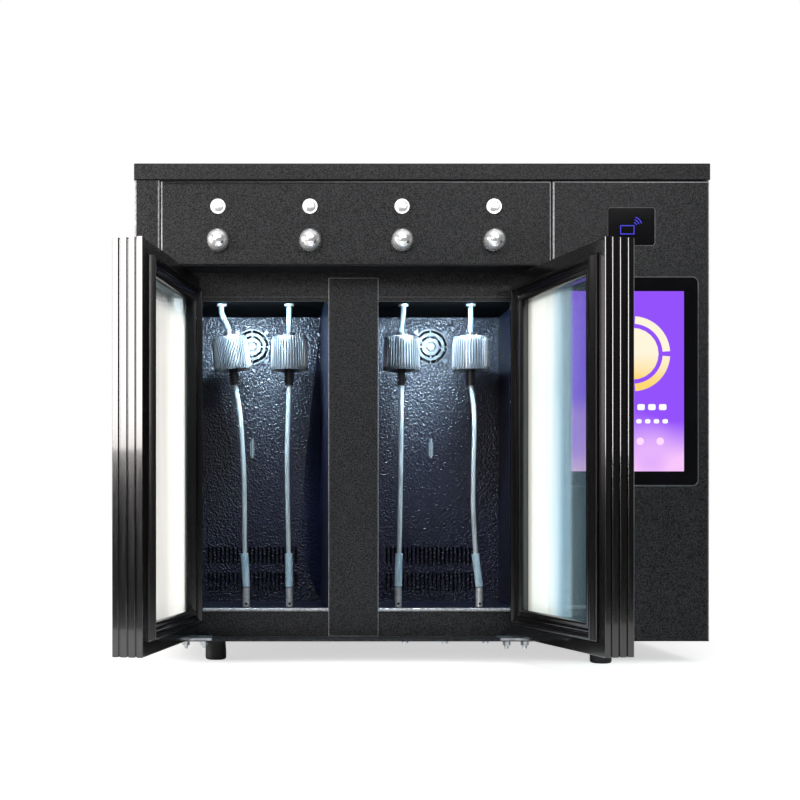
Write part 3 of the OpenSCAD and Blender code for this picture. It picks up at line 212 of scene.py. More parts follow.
for number, (line, joint) in enumerate(zip(tube_lines, cap_joints), 1):
    # The tube starts on the stopper's axis, at the end of its bung
    top = Vector(joint["pos_m"]) - bung_end * mm * Vector(joint["axis"])
    drop = tube_low * mm - top.z
    route = [top + Vector((x * mm, 0, drop * share)) for x, share in line]
    path = [curve_point(route, i, s / curve_steps)
            for i in range(len(route) - 1) for s in range(curve_steps)]
    path.append(route[-1])
    curve = bpy.data.curves.new(f"dip_tube_line_{number}", "CURVE")
    curve.dimensions = "3D"
    curve.bevel_depth = tube_d / 2 * mm
    curve.bevel_resolution = 6
    curve.use_fill_caps = True
    spline = curve.splines.new("POLY")
    spline.points.add(len(path) - 1)
    for point, place in zip(spline.points, path):
        point.co = (*place, 1)
    spline.use_smooth = True
    tube = bpy.data.objects.new(f"dip_tube_line_{number}", curve)
    bpy.context.scene.collection.objects.link(tube)
    curve.materials.append(milky)
    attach(tube, "cabinet")
    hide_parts(f"dip_tube_{number}")

    end = route[-1]
    foot = turned(foot_outline)
    bmesh.ops.translate(foot, verts=foot.verts,
                        vec=(end.x, end.y, end.z - (foot_h + foot_gap) * mm))
    foot = piece(f"dip_tube_foot_{number}", foot, turned_steel, "cabinet")
    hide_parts("dip_tube_ends")
    eye = bmesh.new()
    eye_at = (end.x, end.y - (foot_r - 0.12) * mm, end.z - (foot_h - eye_h) * mm)
    bmesh.ops.create_cone(eye, cap_ends=True, segments=20, radius1=eye_r * mm,
                          radius2=eye_r * mm, depth=0.4 * mm,
                          matrix=Matrix.Translation(eye_at) @ Matrix.Rotation(pi / 2, 4, "X"))
    eye = piece(f"dip_tube_eye_{number}", eye, cavity, "cabinet")
    sleeve = turned(sleeve_outline)
    lean = Vector((0, 0, -1)).rotation_difference(path[-1] - path[-4]).to_matrix().to_4x4()
    sleeve.transform(Matrix.Translation(end) @ lean)
    sleeve = piece(f"dip_tube_sleeve_{number}", sleeve, clear_pvc, "cabinet")

# --- Sheet metal casing -----------------------------------------------------------------
# Steel sheet, 1.5 mm thick, cut and folded, then powder coated and screwed together. The
# lid, side panels, fascias, face frame and the strip between the bays are sprayed alike,
# and the cabinet stands on rubber feet.
nodes = frame["nodes"]
slim_w = 3
bend_segments = 3

# Powder coat, baked on: a fine orange peel that breaks the light into grey specks. The
# real texture is half a millimetre; it is drawn at 0.95 mm so that it shows.
powder, tree, shader = finish("powder_coated_steel", {
    "Roughness": 0.36, "Specular IOR Level": 0.2})
grain(tree, shader, 0.95, 0.9, "#000001", "#303133", detail=1, height=0.3, soft=0.05)

# Where the sheet is folded or cut, the edges are painted pale: a painted highlight that draws
# the folds as bright lines.
edge_highlight, tree, shader = finish("painted_highlight_on_folds", {"Roughness": 0.3, "Metallic": 0.15})
grain(tree, shader, 3.0, 0.2, "#77777a", "#a8a8ab")

# Rubber, moulded: dull black, faintly greyer in patches.
rubber, tree, shader = finish("moulded_black_rubber", {"Roughness": 0.5})
grain(tree, shader, 1.0, 0.2, "#0d0d0e", "#1c1b1c")


def dress(material, *names):
    """CAD nodes that keep their shape take a better material."""
    for name in names:
        for each in nodes[name].material_slots:
            each.material = material


def merged(name):
    """A copy of a CAD node's mesh, its loose triangles joined at their corners."""
    bm = bmesh.new()
    bm.from_mesh(nodes[name].data)
    bmesh.ops.remove_doubles(bm, verts=bm.verts, dist=0.002 * mm)
    return bm


def folded(name, coat=powder, edges=edge_highlight, fold=1.3, cut=0.5,
           bead=None):
    """A copy of a sheet node with another finish on its edges, and these rounded. The edges'
    finish is by default a pale painted highlight.

    The folds are rounded by fold and the cut edges by cut, in mm. A rolled bead is told by
    the two heights in mm that it lies between, and takes the edges' finish too."""
    bm = merged(name)
    bmesh.ops.dissolve_limit(bm, angle_limit=radians(1), verts=bm.verts, edges=bm.edges)
    weight = bm.edges.layers.float.new("bevel_weight_edge")
    slim = {face: 2 * face.calc_area() / face.calc_perimeter() < slim_w * mm
            for face in bm.faces}
    for edge in bm.edges:
        if len(edge.link_faces) == 2 and edge.calc_face_angle() > radians(50):
            edge[weight] = cut / fold if any(slim[face] for face in edge.link_faces) else 1
    for face in bm.faces:
        # A bend's facets are slim and stand askew; they take the edges' painted highlight, but
        # those that look down keep the coat, as no light falls on them
        askew = max(abs(c) for c in face.normal) < 0.98 and face.normal.z > -0.1
        height = face.calc_center_median().z / mm
        if slim[face] and askew or bead and bead[0] < height < bead[1]:
            face.material_index = 1
    made = piece(f"{name}_sheet", bm, coat, "cabinet")
    made.data.materials.append(edges)
    rounding = made.modifiers.new("rounding", "BEVEL")
    rounding.limit_method = "WEIGHT"
    rounding.width = fold * mm
    rounding.segments = bend_segments
    rounding.material = 1
    rounding.harden_normals = True
    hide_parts(name)


for name in ("left_side_panel", "right_side_panel", "tap_fascia", "control_fascia"):
    folded(name)
folded("top_lid", edges=powder)
folded("divider_strip", cut=0.9)
# The sills are rolled into beads, which take the pale painted highlight too
folded("bay_face_frame", bead=(60.3, 65))
dress(powder, "base_pan", "rear_panel")
dress(rubber, "feet")

# --- Bays -------------------------------------------------------------------------------
# Each bay is lined with stucco-embossed aluminium sheet, lacquered black and bent to a box,
# which throws back the light of a cool white lamp behind the header. Foam is moulded to
# fill the space round both bays.
lump_size = 2.9
ceiling_depth = 3
lamp_w = 70
lamp_tilt = 38

# Embossed sheet under gloss lacquer: rollers press lumps about 3 mm apart, and each throws
# back a point of the lamp, so the wall glitters near it and is almost black far from it.
stucco, tree, shader = finish("stucco_embossed_sheet", {
    "Roughness": 0.3, "Specular IOR Level": 0.45})
place = add(tree, "TexCoord")
# The lumps wander, in waves of 3.8 mm
warp = add(tree, "TexNoise", {"Vector": place.outputs["Object"], "Scale": 0.26 / mm,
                              "Detail": 1.0})
offset = add(tree, "VectorMath", {0: warp.outputs["Color"], 1: (3 * mm, 3 * mm, 3 * mm)},
             operation="MULTIPLY")
moved = add(tree, "VectorMath", {0: place.outputs["Object"], 1: offset.outputs[0]},
            operation="ADD")
cells = add(tree, "TexVoronoi", {"Vector": moved.outputs[0], "Scale": 1 / (lump_size * mm),
                                 "Smoothness": 0.35}, feature="SMOOTH_F1")
lumps = add(tree, "Bump", {"Height": cells.outputs["Distance"], "Strength": 1.0,
                           "Distance": 0.9 * mm})
# The sheet is painted darker away from each lump's middle: painted shade between the lumps
tint = add(tree, "ValToRGB", {"Fac": cells.outputs["Distance"]})
tint.color_ramp.elements[0].color = linear("#141730")
tint.color_ramp.elements[1].color = linear("#05060c")
tree.links.new(tint.outputs["Color"], shader.inputs["Base Color"])
tree.links.new(lumps.outputs[0], shader.inputs["Normal"])

# The ceiling's sheet is plain and painted matt, so the lamp isn't seen in it.
matt, tree, shader = finish("matt_black_paint", {"Roughness": 0.9, "Specular IOR Level": 0.05})
grain(tree, shader, 1.5, 0.1, "#030304", "#070708")

for side in ("left", "right"):
    bm = merged(f"{side}_bay_liner")
    bay_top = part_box(f"{side}_bay_liner")[1].z - ceiling_depth * mm
    for face in bm.faces:
        if face.normal.z < -0.9 and face.calc_center_median().z > bay_top:
            face.material_index = 1
    lining = piece(f"{side}_bay_lining", bm, stucco, "cabinet", sharp=1)
    lining.data.materials.append(matt)
    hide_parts(f"{side}_bay_liner")

# Expanded polypropylene, moulded to shape: charcoal beads, a few millimetres across. The dark
# colour is also painted shade, where the foam shows through the slots.
foam, tree, shader = finish("moulded_bead_foam", {"Roughness": 0.9})
grain(tree, shader, 2.6, 0.5, "#141416", "#27282b")
dress(foam, "foam_insulation")

# Acrylic diffuser, lit from behind by cool white diodes that show as brighter spots.
diffuser, tree, shader = finish("lit_acrylic_diffuser", {
    "Base Color": linear("#e8f4ff"), "Roughness": 0.5, "Emission Strength": 3.0})
place = add(tree, "TexCoord")
spots = add(tree, "TexWave", {"Vector": place.outputs["Object"], "Scale": 1 / (16 * mm)},
            bands_direction="X")
ramp = add(tree, "ValToRGB", {"Fac": spots.outputs["Fac"]})
ramp.color_ramp.elements[0].color = linear("#bfe2ff")
tree.links.new(ramp.outputs["Color"], shader.inputs["Emission Color"])
dress(diffuser, "bay_lamps")
low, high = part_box("bay_lamps")
half = lamp_w * mm / 2
for side, middle in (("left", low.x + half), ("right", high.x - half)):
    light = bpy.data.lights.new(f"{side}_bay_light", "AREA")
    light.shape = "RECTANGLE"
    light.size = 60 * mm
    light.size_y = 10 * mm
    light.energy = 2.5
    light.color = (0.6, 0.83, 1.0)
    glow = bpy.data.objects.new(light.name, light)
    glow.location = (middle, (low.y + high.y) / 2, low.z - 1.5 * mm)
    glow.rotation_euler = (radians(lamp_tilt), 0, 0)
    bpy.context.scene.collection.objects.link(glow)

# --- Fans, grilles and probes -----------------------------------------------------------
# A pressed steel grille is screwed to each bay's rear wall, with a moulded fan behind it.
# Below it, a clip holds the temperature probe, and the exhaust fan sits at the rear.

# Pressed sheet under the wall's lacquer: dark, with a dim metallic shine on its ribs.
pressed, tree, shader = finish("lacquered_pressed_sheet", {"Roughness": 0.32, "Metallic": 0.3})
grain(tree, shader, 1.4, 0.2, "#14161b", "#262a31")
dress(pressed, "fan_grilles")

# ABS, moulded in a spark-eroded tool: an even, slightly satin black.
moulded, tree, shader = finish("moulded_black_abs", {"Roughness": 0.48})
grain(tree, shader, 0.8, 0.25, "#0b0b0c", "#17181a")
dress(moulded, "fan_frames", "left_fan_rotor", "right_fan_rotor", "exhaust_fan_rotor")

# Grey nylon, moulded: dull, and mottled like dry soap.
grey_nylon, tree, shader = finish("moulded_grey_nylon", {"Roughness": 0.45})
grain(tree, shader, 1.5, 0.1, "#6f7377", "#8f9397")
dress(grey_nylon, "temperature_probes")

# --- Supply tubes -----------------------------------------------------------------------
# A soft hose is pushed onto each stopper and runs up to its valve. It passes the bay's
# ceiling through a flanged nylon ferrule that is pressed into the sheet.

# White nylon, moulded: slightly waxy, and light goes a little way in.
nylon, tree, shader = finish("moulded_white_nylon", {
    "Roughness": 0.36, "Subsurface Weight": 0.2, "Subsurface Scale": 2 * mm})
grain(tree, shader, 1.5, 0.08, "#777c7f", "#9b9fa2")
dress(nylon, "tube_ferrules")

# Silicone, extruded: milky grey under a wet-looking skin, with lines along the hose.
silicone, tree, shader = finish("milky_silicone_hose", {"Roughness": 0.25, "Coat Weight": 0.4})
grain(tree, shader, 4, 0.06, "#4b555c", "#6e787f", stretch=(1, 1, 0.1))
dress(silicone, "supply_tubes")

# --- Cooling, valves and electronics ----------------------------------------------------
# The pieces inside the casing: extruded sinks clamped to ceramic modules, plated valves on
# a gas manifold, a power supply and a circuit board. They show only with the covers off.

# Aluminium, extruded: bright, with die lines along its length.
extruded, tree, shader = finish("extruded_aluminium", {"Metallic": 1.0, "Roughness": 0.36})
grain(tree, shader, 1.6, 0.1, "#9b9ea2", "#c9ccd0", stretch=(1, 1, 0.05))
dress(extruded, "heat_sinks", "gas_manifold", "power_supply")

# Alumina, pressed and fired: off-white and dry as an eggshell.
ceramic, tree, shader = finish("alumina_ceramic", {"Roughness": 0.5})
grain(tree, shader, 0.6, 0.05, "#dedcd2", "#f3f2ea")
dress(ceramic, "thermoelectric_modules")

# Steel, zinc plated: bright grey, with cloudy patches from the bath.
zinc, tree, shader = finish("zinc_plated_steel", {"Metallic": 1.0, "Roughness": 0.3})
grain(tree, shader, 6, 0.05, "#a6abb0", "#d4d8da")
dress(zinc, "compartment_wall", "dispense_valves", "gas_regulator")

# Solder mask on a board: glossy green, lighter where copper lies under it.
board, tree, shader = finish("solder_masked_board", {"Roughness": 0.35, "Coat Weight": 0.3})
grain(tree, shader, 5, 0.1, "#0e3a24", "#1c5b3a")
dress(board, "control_board")
dress(moulded, "power_inlet")

# --- Screws -----------------------------------------------------------------------------
# One node holds all the screws and bolts. Those under the cabinet are bright zinc, and the
# ones above this height, on the grilles and the rear, have been sprayed with their sheet.
lacquered_from = 100

# Zinc plate glints like a mirror, and the lacquered heads are a dull blue-black.
screws, tree, shader = finish("plated_and_lacquered_screws", {"Roughness": 0.3})
place = add(tree, "TexCoord")
parts = add(tree, "SeparateXYZ", {"Vector": place.outputs["Object"]})
sprayed = add(tree, "Math", {0: parts.outputs["Z"], 1: lacquered_from * mm},
              operation="GREATER_THAN")
bare = add(tree, "Math", {0: 1.0, 1: sprayed.outputs[0]}, operation="SUBTRACT")
wear = add(tree, "TexNoise", {"Vector": place.outputs["Object"], "Scale": 1 / (3 * mm)})
# A Mix node's sockets 6 and 7 are its two colours, and 2 and 3 its two numbers
shine = add(tree, "Mix", {0: wear.outputs["Fac"], 6: linear("#c2c6c9"), 7: linear("#f0f2f3")},
            data_type="RGBA")
tone = add(tree, "Mix", {0: sprayed.outputs[0], 6: shine.outputs[2], 7: linear("#3a404a")},
           data_type="RGBA")
tree.links.new(tone.outputs[2], shader.inputs["Base Color"])
tree.links.new(bare.outputs[0], shader.inputs["Metallic"])
dress(screws, "cover_screws")

# --- Taps and buttons -------------------------------------------------------------------
# Four domed taps, with a push button over each, are held in the fascia by nuts from behind.
# All are turned from brass, polished and chrome plated. A wire spring returns each button.
spring_zone = 10

# Plating follows every tool mark, so the mirror is slightly uneven, and handling leaves it
# a little duller in places.
# Only part of it is mirror: the rest is a pale matt share, a painted reflection that keeps the
# chrome light
plated, tree, shader = finish("chrome_plated_brass", {"Metallic": 0.72, "Roughness": 0.16})
noise = grain(tree, shader, 14, 0.02, "#eef0f1", "#fafbfb")
dulled = add(tree, "MapRange", {"Value": noise.outputs["Fac"], "To Min": 0.12, "To Max": 0.24})
tree.links.new(dulled.outputs[0], shader.inputs["Roughness"])
dress(plated, "spouts", "button_housings", "button_1", "button_2", "button_3", "button_4")


def joint_named(name):
    """The frame's joint of that name."""
    return next(joint for joint in frame["joints"] if joint["name"] == name)


for number in range(1, 5):
    joint = joint_named(f"button_{number}_press")
    low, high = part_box(f"button_{number}")
    axis_x = (low.x + high.x) / 2
    bm = merged("button_springs")
    # The node's other springs stand further along the fascia
    others = [vert for vert in bm.verts if abs(vert.co.x - axis_x) > spring_zone * mm]
    bmesh.ops.delete(bm, geom=others, context="VERTS")
    spring = piece(f"button_spring_{number}", bm, zinc, "cabinet", sharp=60)
    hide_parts("button_springs")
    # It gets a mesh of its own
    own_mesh(spring)

# --- Stoppers ---------------------------------------------------------------------------
# A flared grip of satin aluminium with milled flutes turns on a black rubber core. The core
# ends below in a ribbed bung, and the grip's underside is turned out to a hollow.
cap_top_r = 23.5
cap_low_r = 25.5
cap_h = 45
shoulder_h = 1.5
shoulder_in = 0.9
flutes = 40
flute_w = 0.54
flute_deep = 1.7
flute_points = 12
grip_rows = 10
first_twist = 45

# Aluminium, bead blasted and anodised: a soft grey metal with no mirror in it.
satin, tree, shader = finish("satin_anodised_aluminium", {"Metallic": 0.9, "Roughness": 0.3})
grain(tree, shader, 0.9, 0.1, "#85888c", "#a3a6aa")

# The flutes' bottoms are painted near black: painted shade in the grooves.
flute_shade, tree, shader = finish("painted_shade_in_flutes", {"Roughness": 0.6})
grain(tree, shader, 1.0, 0.1, "#0b0b0d", "#18191b")
dress(rubber, "stopper_plugs")


def new_verts(made):
    """The vertices that an extrusion has made."""
    return [g for g in made["geom"] if isinstance(g, bmesh.types.BMVert)]


def new_edges(made):
    """The edges round the open rim that an extrusion has made."""
    return [g for g in made["geom"] if isinstance(g, bmesh.types.BMEdge) and g.is_boundary]


def fluted_grip(twist):
    """A flared ring with flutes, a rounded shoulder and a hollow underside, about its axis."""
    bm = bmesh.new()
    bmesh.ops.create_cone(bm, cap_ends=False, segments=flutes * flute_points,
                          radius1=cap_low_r * mm, radius2=cap_top_r * mm, depth=cap_h * mm)
    upright = [e for e in bm.edges
               if abs(e.verts[0].co.z - e.verts[1].co.z) > cap_h * mm / 2]
    bmesh.ops.subdivide_edges(bm, edges=upright, cuts=grip_rows)
    for vert in bm.verts:
        around = atan2(vert.co.y, vert.co.x)
        share = vert.co.z / (cap_h * mm)
        from_end = min(1, (0.5 - abs(share)) * cap_h / shoulder_h)
        across = abs((around * flutes / (2 * pi) + 0.5) % 1 - 0.5) / (flute_w / 2)
        flute = flute_deep * mm * max(0, 1 - across ** 2) ** 0.5
        reach = hypot(vert.co.x, vert.co.y) - flute - shoulder_in * mm * (1 - from_end) ** 2
        around += twist * share
        vert.co.x = reach * cos(around)
        vert.co.y = reach * sin(around)
    # The top closes towards the core; the underside goes up into a hollow. Each ring is a
    # share of that end's radius, and mm beyond the end
    top_rings = ((0.9, 0), (0.35, 0))
    low_rings = ((0.88, 0), (0.8, -2.5), (0.35, -4.8))
    for end, radius, rings in ((1, cap_top_r, top_rings), (-1, cap_low_r, low_rings)):
        rim = [e for e in bm.edges if e.is_boundary and e.verts[0].co.z * end > 0]
        for scale, out in rings:
            made = bmesh.ops.extrude_edge_only(bm, edges=rim)
            verts = new_verts(made)
            start = sum((hypot(v.co.x, v.co.y) for v in verts)) / len(verts)
            for vert in verts:
                vert.co.x *= scale * radius * mm / start
                vert.co.y *= scale * radius * mm / start
                vert.co.z = end * (cap_h / 2 + out) * mm
            rim = new_edges(made)
    bmesh.ops.holes_fill(bm, edges=[e for e in bm.edges if e.is_boundary], sides=0)
    bmesh.ops.recalc_face_normals(bm, faces=bm.faces)
    # Faces deep in the flutes take the second finish, the painted shade
    for face in bm.faces:
        middle = face.calc_center_median()
        share = middle.z / (cap_h * mm)
        wall = (cap_low_r + (cap_top_r - cap_low_r) * (share + 0.5)) * mm
        deep = wall - hypot(middle.x, middle.y)
        if abs(share) < 0.47 and 0.5 * mm < deep < (flute_deep + 0.05) * mm:
            face.material_index = 1
    return bm


for number, joint in enumerate(cap_joints, 1):
    # The first grip is wrung on its core, so its flutes slant
    bm = fluted_grip(radians(first_twist) if number == 1 else 0)
    lean = Vector((0, 0, 1)).rotation_difference(Vector(joint["axis"])).to_matrix().to_4x4()
    bm.transform(Matrix.Translation(joint["pos_m"]) @ lean)
    made = piece(f"stopper_grip_{number}", bm, satin, f"stopper_cap_{number}_body", sharp=50)
    made.data.materials.append(flute_shade)
    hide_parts(f"stopper_cap_{number}")

# --- Doors ------------------------------------------------------------------------------
# Each frame is four lengths of grooved profile in gloss black, mitred at the corners, round
# a sealed unit of two panes. A bellows gasket with a magnet in its outer ridge is pushed in
# at the back, and plated pins in steel plates hang the door.
door_w, door_h = 232.5, 434.5
door_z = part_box("left_door_frame")[0].z
pivot_in, pivot_back = 15, 5
rail_w, door_t = 26, 33
groove_w, groove_deep = 1.6, 2
edge_bevel = 0.5
rebate_in = 20
pane_t = 4
pane_in = rebate_in + 0.3
spacer_gap = 1
gasket_in = 15
dress(zinc, "hinge_brackets")
dress(plated, "hinge_pins")


def mitred_ring(profile, width, height):
    """An outline of (in from the edge, back) points in mm that runs round a rectangle."""
    bm = bmesh.new()
    verts = [bm.verts.new((inward, back, inward)) for inward, back in profile]
    first = [bm.edges.new((a, b)) for a, b in zip(verts, verts[1:] + verts[:1])]
    edges = first
    for axis, size in ((0, width), (2, height), (0, width)):
        made = bmesh.ops.extrude_edge_only(bm, edges=edges)
        edges = new_edges(made)
        for vert in new_verts(made):
            vert.co[axis] = size - vert.co[axis]
    bmesh.ops.bridge_loops(bm, edges=first + edges)
    bmesh.ops.recalc_face_normals(bm, faces=bm.faces)
    bmesh.ops.scale(bm, verts=bm.verts, vec=(mm, mm, mm))
    return bm


def hang(bm, side, inset=0):
    """Takes a door's piece from its own corner to its place in the open door."""
    joint = joint_named(f"{side}_door_hinge")
    opened = radians(joint["range_deg"][1])
    bm.transform(Matrix.Translation(((inset - pivot_in) * mm, -pivot_back * mm, inset * mm)))
    if side == "right":
        bmesh.ops.scale(bm, verts=bm.verts, vec=(-1, 1, 1))
        bmesh.ops.reverse_faces(bm, faces=bm.faces)
    pivot = Vector(joint["pos_m"])
    turn = Matrix.Rotation(-opened if side == "left" else opened, 4, "Z")
    bm.transform(Matrix.Translation((pivot.x, pivot.y, door_z)) @ turn)
    return bm


# The profile: three grooves along its outer side, a channel at the back for the gasket's
# foot, a step, and a rebate for the glass
rail_outline = [(edge_bevel, 0), (0, edge_bevel)]
for groove in (7.6, 16.7, 25.5):
    near, far = groove - groove_w / 2, groove + groove_w / 2
    rail_outline += [
        (0, near - edge_bevel), (edge_bevel, near), (groove_deep, near + 0.2),
        (groove_deep, far - 0.2), (edge_bevel, far), (0, far + edge_bevel)]
rail_outline += [
    (0, door_t - edge_bevel), (edge_bevel, door_t), (14, door_t), (14.5, door_t - 1.5),
    (19, door_t - 1.5), (19.5, door_t), (22, door_t), (24, door_t - 1.2), (rail_w, 23.5),
    (rail_w, 22.2), (rebate_in, 22.2), (rebate_in, 1.8), (rail_w, 1.8), (rail_w, 0.8),
    (rail_w - 0.8, 0)]
gasket_outline = [
    (0.2, 0.1), (0.2, 1.6), (1.2, 2.4), (1.6, 6.4), (2.4, 8.6), (3.6, 9.0), (5.0, 8.6),
    (5.9, 6.6), (6.3, 2.4), (7.6, 1.9), (8.4, 3.2), (10, 3.8), (11.6, 3.2), (12.4, 1.9),
    (13.6, 2.2), (14.3, 4.2), (16, 5.0), (18.4, 4.4), (19.6, 2.4), (19.9, 0.1)]
spacer_outline = [(0, 6.1), (0, 17.9), (7.2, 17.9), (8, 16.9), (8, 7.1), (7.2, 6.1)]

# Aluminium, extruded and gloss coated: hard reflections, drawn out by die lines along the
# bars and a little duller in places.
gloss, tree, shader = finish("gloss_black_extrusion", {
    "Roughness": 0.14, "Specular IOR Level": 0.8, "Coat Weight": 1.0, "Coat Roughness": 0.05})
noise = grain(tree, shader, 2.4, 0.06, "#030304", "#09090a", stretch=(1, 1, 0.04))
dulled = add(tree, "MapRange", {"Value": noise.outputs["Fac"], "To Min": 0.1, "To Max": 0.24})
tree.links.new(dulled.outputs[0], shader.inputs["Roughness"])

# Soft PVC, extruded: black, with the wet shine of a plastic that is still supple.
supple, tree, shader = finish("soft_pvc_gasket", {"Roughness": 0.2, "Specular IOR Level": 0.8})
grain(tree, shader, 2.0, 0.1, "#050404", "#0f0c0c", stretch=(1, 1, 0.1))


def float_glass(name, passing, free_reflection, middle_reflection, hinge_reflection, blue="#a9c9d8",
                cream="#fcfbf4", top_reflection=1.0):
    """Clear glass with a pale painted reflection laid over it as a milky layer.

    The painted reflection covers a share of the pane at its free edge, in its middle and at its
    hinge, and times its top share under its upper rail. Passing is how much of its glow is from
    behind."""
    material, tree, shader = finish(name, {
        "Roughness": 0.0, "Transmission Weight": 1.0, "IOR": 1.5,
        "Base Color": linear("#edf4f5")})
    place = add(tree, "TexCoord")
    parts = add(tree, "SeparateXYZ", {"Vector": place.outputs["Object"]})
    # Streaks 14 mm wide run down the pane
    drawn = add(tree, "Mapping", {"Vector": place.outputs["Object"], "Scale": (1, 1, 0.06)})
    streaks = add(tree, "TexNoise", {"Vector": drawn.outputs[0], "Scale": 0.07 / mm,
                                     "Detail": 2.0})
    # The painted reflection is cream near the hinges and turns bluish towards the free edge,
    # which stands furthest in front of the fascia
    near_hinge = add(tree, "MapRange", {
        "Value": parts.outputs["Y"], "From Min": front - 95 * mm, "From Max": front - 35 * mm})
    mottled = add(tree, "Math", {0: streaks.outputs["Fac"], 1: 0.5, 2: near_hinge.outputs[0]},
                  operation="MULTIPLY_ADD")
    tint = add(tree, "ValToRGB", {"Fac": mottled.outputs[0]})
    tint.color_ramp.elements[0].position = 0.2
    tint.color_ramp.elements[0].color = linear(blue)
    tint.color_ramp.elements[1].position = 0.95
    tint.color_ramp.elements[1].color = linear(cream)
    # The painted reflection: a pale matt layer that also glows through from behind
    near = add(tree, "BsdfDiffuse", {"Color": tint.outputs["Color"]})
    far = add(tree, "BsdfTranslucent", {"Color": tint.outputs["Color"]})
    reflection_layer = add(tree, "MixShader", {0: passing, 1: near.outputs[0], 2: far.outputs[0]})
    along = add(tree, "MapRange", {
        "Value": parts.outputs["Y"], "From Min": front - 150 * mm, "From Max": front - 50 * mm})
    cover = add(tree, "ValToRGB", {"Fac": along.outputs[0]})
    cover.color_ramp.interpolation = "EASE"
    cover.color_ramp.elements.new(0.42)
    cover.color_ramp.elements.new(0.5)
    for stop, at, share in zip(cover.color_ramp.elements, (0.3, 0.42, 0.5, 0.72),
                               (free_reflection, middle_reflection, middle_reflection, hinge_reflection)):
        stop.position = at
        stop.color = (share, share, share, 1)
    upper = add(tree, "MapRange", {
        "Value": parts.outputs["Z"], "From Min": glass_top - 42 * mm,
        "From Max": glass_top - 12 * mm, "To Min": 1.0, "To Max": top_reflection},
        interpolation_type="SMOOTHSTEP")
    share = add(tree, "Math", {0: cover.outputs["Color"], 1: upper.outputs[0]},
                operation="MULTIPLY")
    glass_and_reflection = add(tree, "MixShader", {0: share.outputs[0], 1: shader.outputs[0],
                                     2: reflection_layer.outputs[0]})
    # The pane throws only a faint shadow
    through = add(tree, "BsdfTransparent", {"Color": linear("#e6f0f3")})
    ray = add(tree, "LightPath")
    mixed = add(tree, "MixShader", {0: ray.outputs["Is Shadow Ray"], 1: glass_and_reflection.outputs[0],
                                    2: through.outputs[0]})
    out = next(n for n in tree.nodes if n.type == "OUTPUT_MATERIAL")
    tree.links.new(mixed.outputs[0], out.inputs["Surface"])
    return material


# Float glass: the outer panes are clear, and the painted reflection is on the inner ones. It
# covers the left one nearly to its upper rail, and the right one only towards its hinges.
glass_top = door_z + (door_h - rail_w) * mm
panes = {
    ("left", "inner"): float_glass("left_glass_painted_reflection", 0.75, 0.9, 0.9, 0.92, "#d3c9c4",
                                   "#ebe3dd", 0.03),
    ("right", "inner"): float_glass("right_glass_painted_reflection", 0.15, 0.03, 0.3, 0.9)}
clear_glass = float_glass("clear_float_glass", 0.5, 0.0, 0.0, 0.02)
panes["left", "outer"] = panes["right", "outer"] = clear_glass

# Aluminium, straight from the mill: a pale band between the panes, faintly cloudy.
spacer_metal, tree, shader = finish("mill_aluminium_spacer", {
    "Metallic": 1.0, "Roughness": 0.35})
grain(tree, shader, 1.2, 0.1, "#8f9498", "#b9bec2")

for side in ("left", "right"):
    body = f"{side}_door"
    rails = hang(mitred_ring(rail_outline, door_w, door_h), side)
    rails = piece(f"{side}_door_rails", rails, gloss, body)
    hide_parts(f"{side}_door_frame")
    seal = mitred_ring([(inward, door_t + back) for inward, back in gasket_outline],
                       door_w - 2 * gasket_in, door_h - 2 * gasket_in)
    seal = piece(f"{side}_door_bellows", hang(seal, side, gasket_in), supple, body, sharp=40)
    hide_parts(f"{side}_door_gasket")
    pane_w, pane_h = door_w - 2 * pane_in, door_h - 2 * pane_in
    for name, back in (("outer", 2), ("inner", 18)):
        pane = bmesh.new()
        bmesh.ops.create_cube(pane, size=1)
        bmesh.ops.scale(pane, verts=pane.verts, vec=(pane_w * mm, pane_t * mm, pane_h * mm))
        bmesh.ops.translate(pane, verts=pane.verts,
                            vec=(pane_w / 2 * mm, (back + pane_t / 2) * mm, pane_h / 2 * mm))
        bmesh.ops.bevel(pane, geom=pane.edges, offset=0.5 * mm, affect="EDGES", segments=2,
                        profile=0.5, material=-1)
        pane = piece(f"{side}_door_{name}_pane", hang(pane, side, pane_in), panes[side, name],
                     body, sharp=1)
        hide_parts(f"{side}_door_glazing")
    strip = mitred_ring(spacer_outline, pane_w - 2 * spacer_gap, pane_h - 2 * spacer_gap)
    piece(f"{side}_door_spacer", hang(strip, side, pane_in + spacer_gap), spacer_metal, body)

# --- Touch screen and reader ------------------------------------------------------------
# Black printed glass is glued flush into the control fascia, with the display behind it.
# The display shows a violet page with a dial and level gauges, and the reader's smaller
# window a card under radio waves.
page_w, page_h, page_t = 131, 216, 0.1
print_t = 0.06
dial_outer, dial_inner, dial_gap = 45, 36, 4
dial_middle_d = 62
gauges = ((7, 9), (9, 6.5))
gauge_gap, gauge_low, gauge_pitch = 4, 31, 17
spot_d, spot_pitch, spot_low = 9, 24, 72
symbol_t = 0.08
card_w, card_h, card_line = 17, 11, 1
wave_r, wave_pitch, wave_line = 3.5, 3.2, 0.9

# Glass, printed black on its back: deep black, with a mirror's surface.
printed, tree, shader = finish("black_printed_glass", {
    "Roughness": 0.06, "Specular IOR Level": 0.5})
grain(tree, shader, 30, 0.01, "#060608", "#0b0b0f")

# The glass's edge, ground: a grey frosted line round it, and its paleness is partly a painted
# highlight on the bevel. The facets that look down keep the black print.
frosted_edge_highlight, tree, shader = finish("frosted_glass_edge_highlight", {"Roughness": 0.4})
grain(tree, shader, 1.5, 0.1, "#3a3d42", "#5a5e64")
folded("screen_glass", printed, frosted_edge_highlight, fold=0.7, cut=0.7)
dress(printed, "reader_window")
dress(moulded, "display_module")


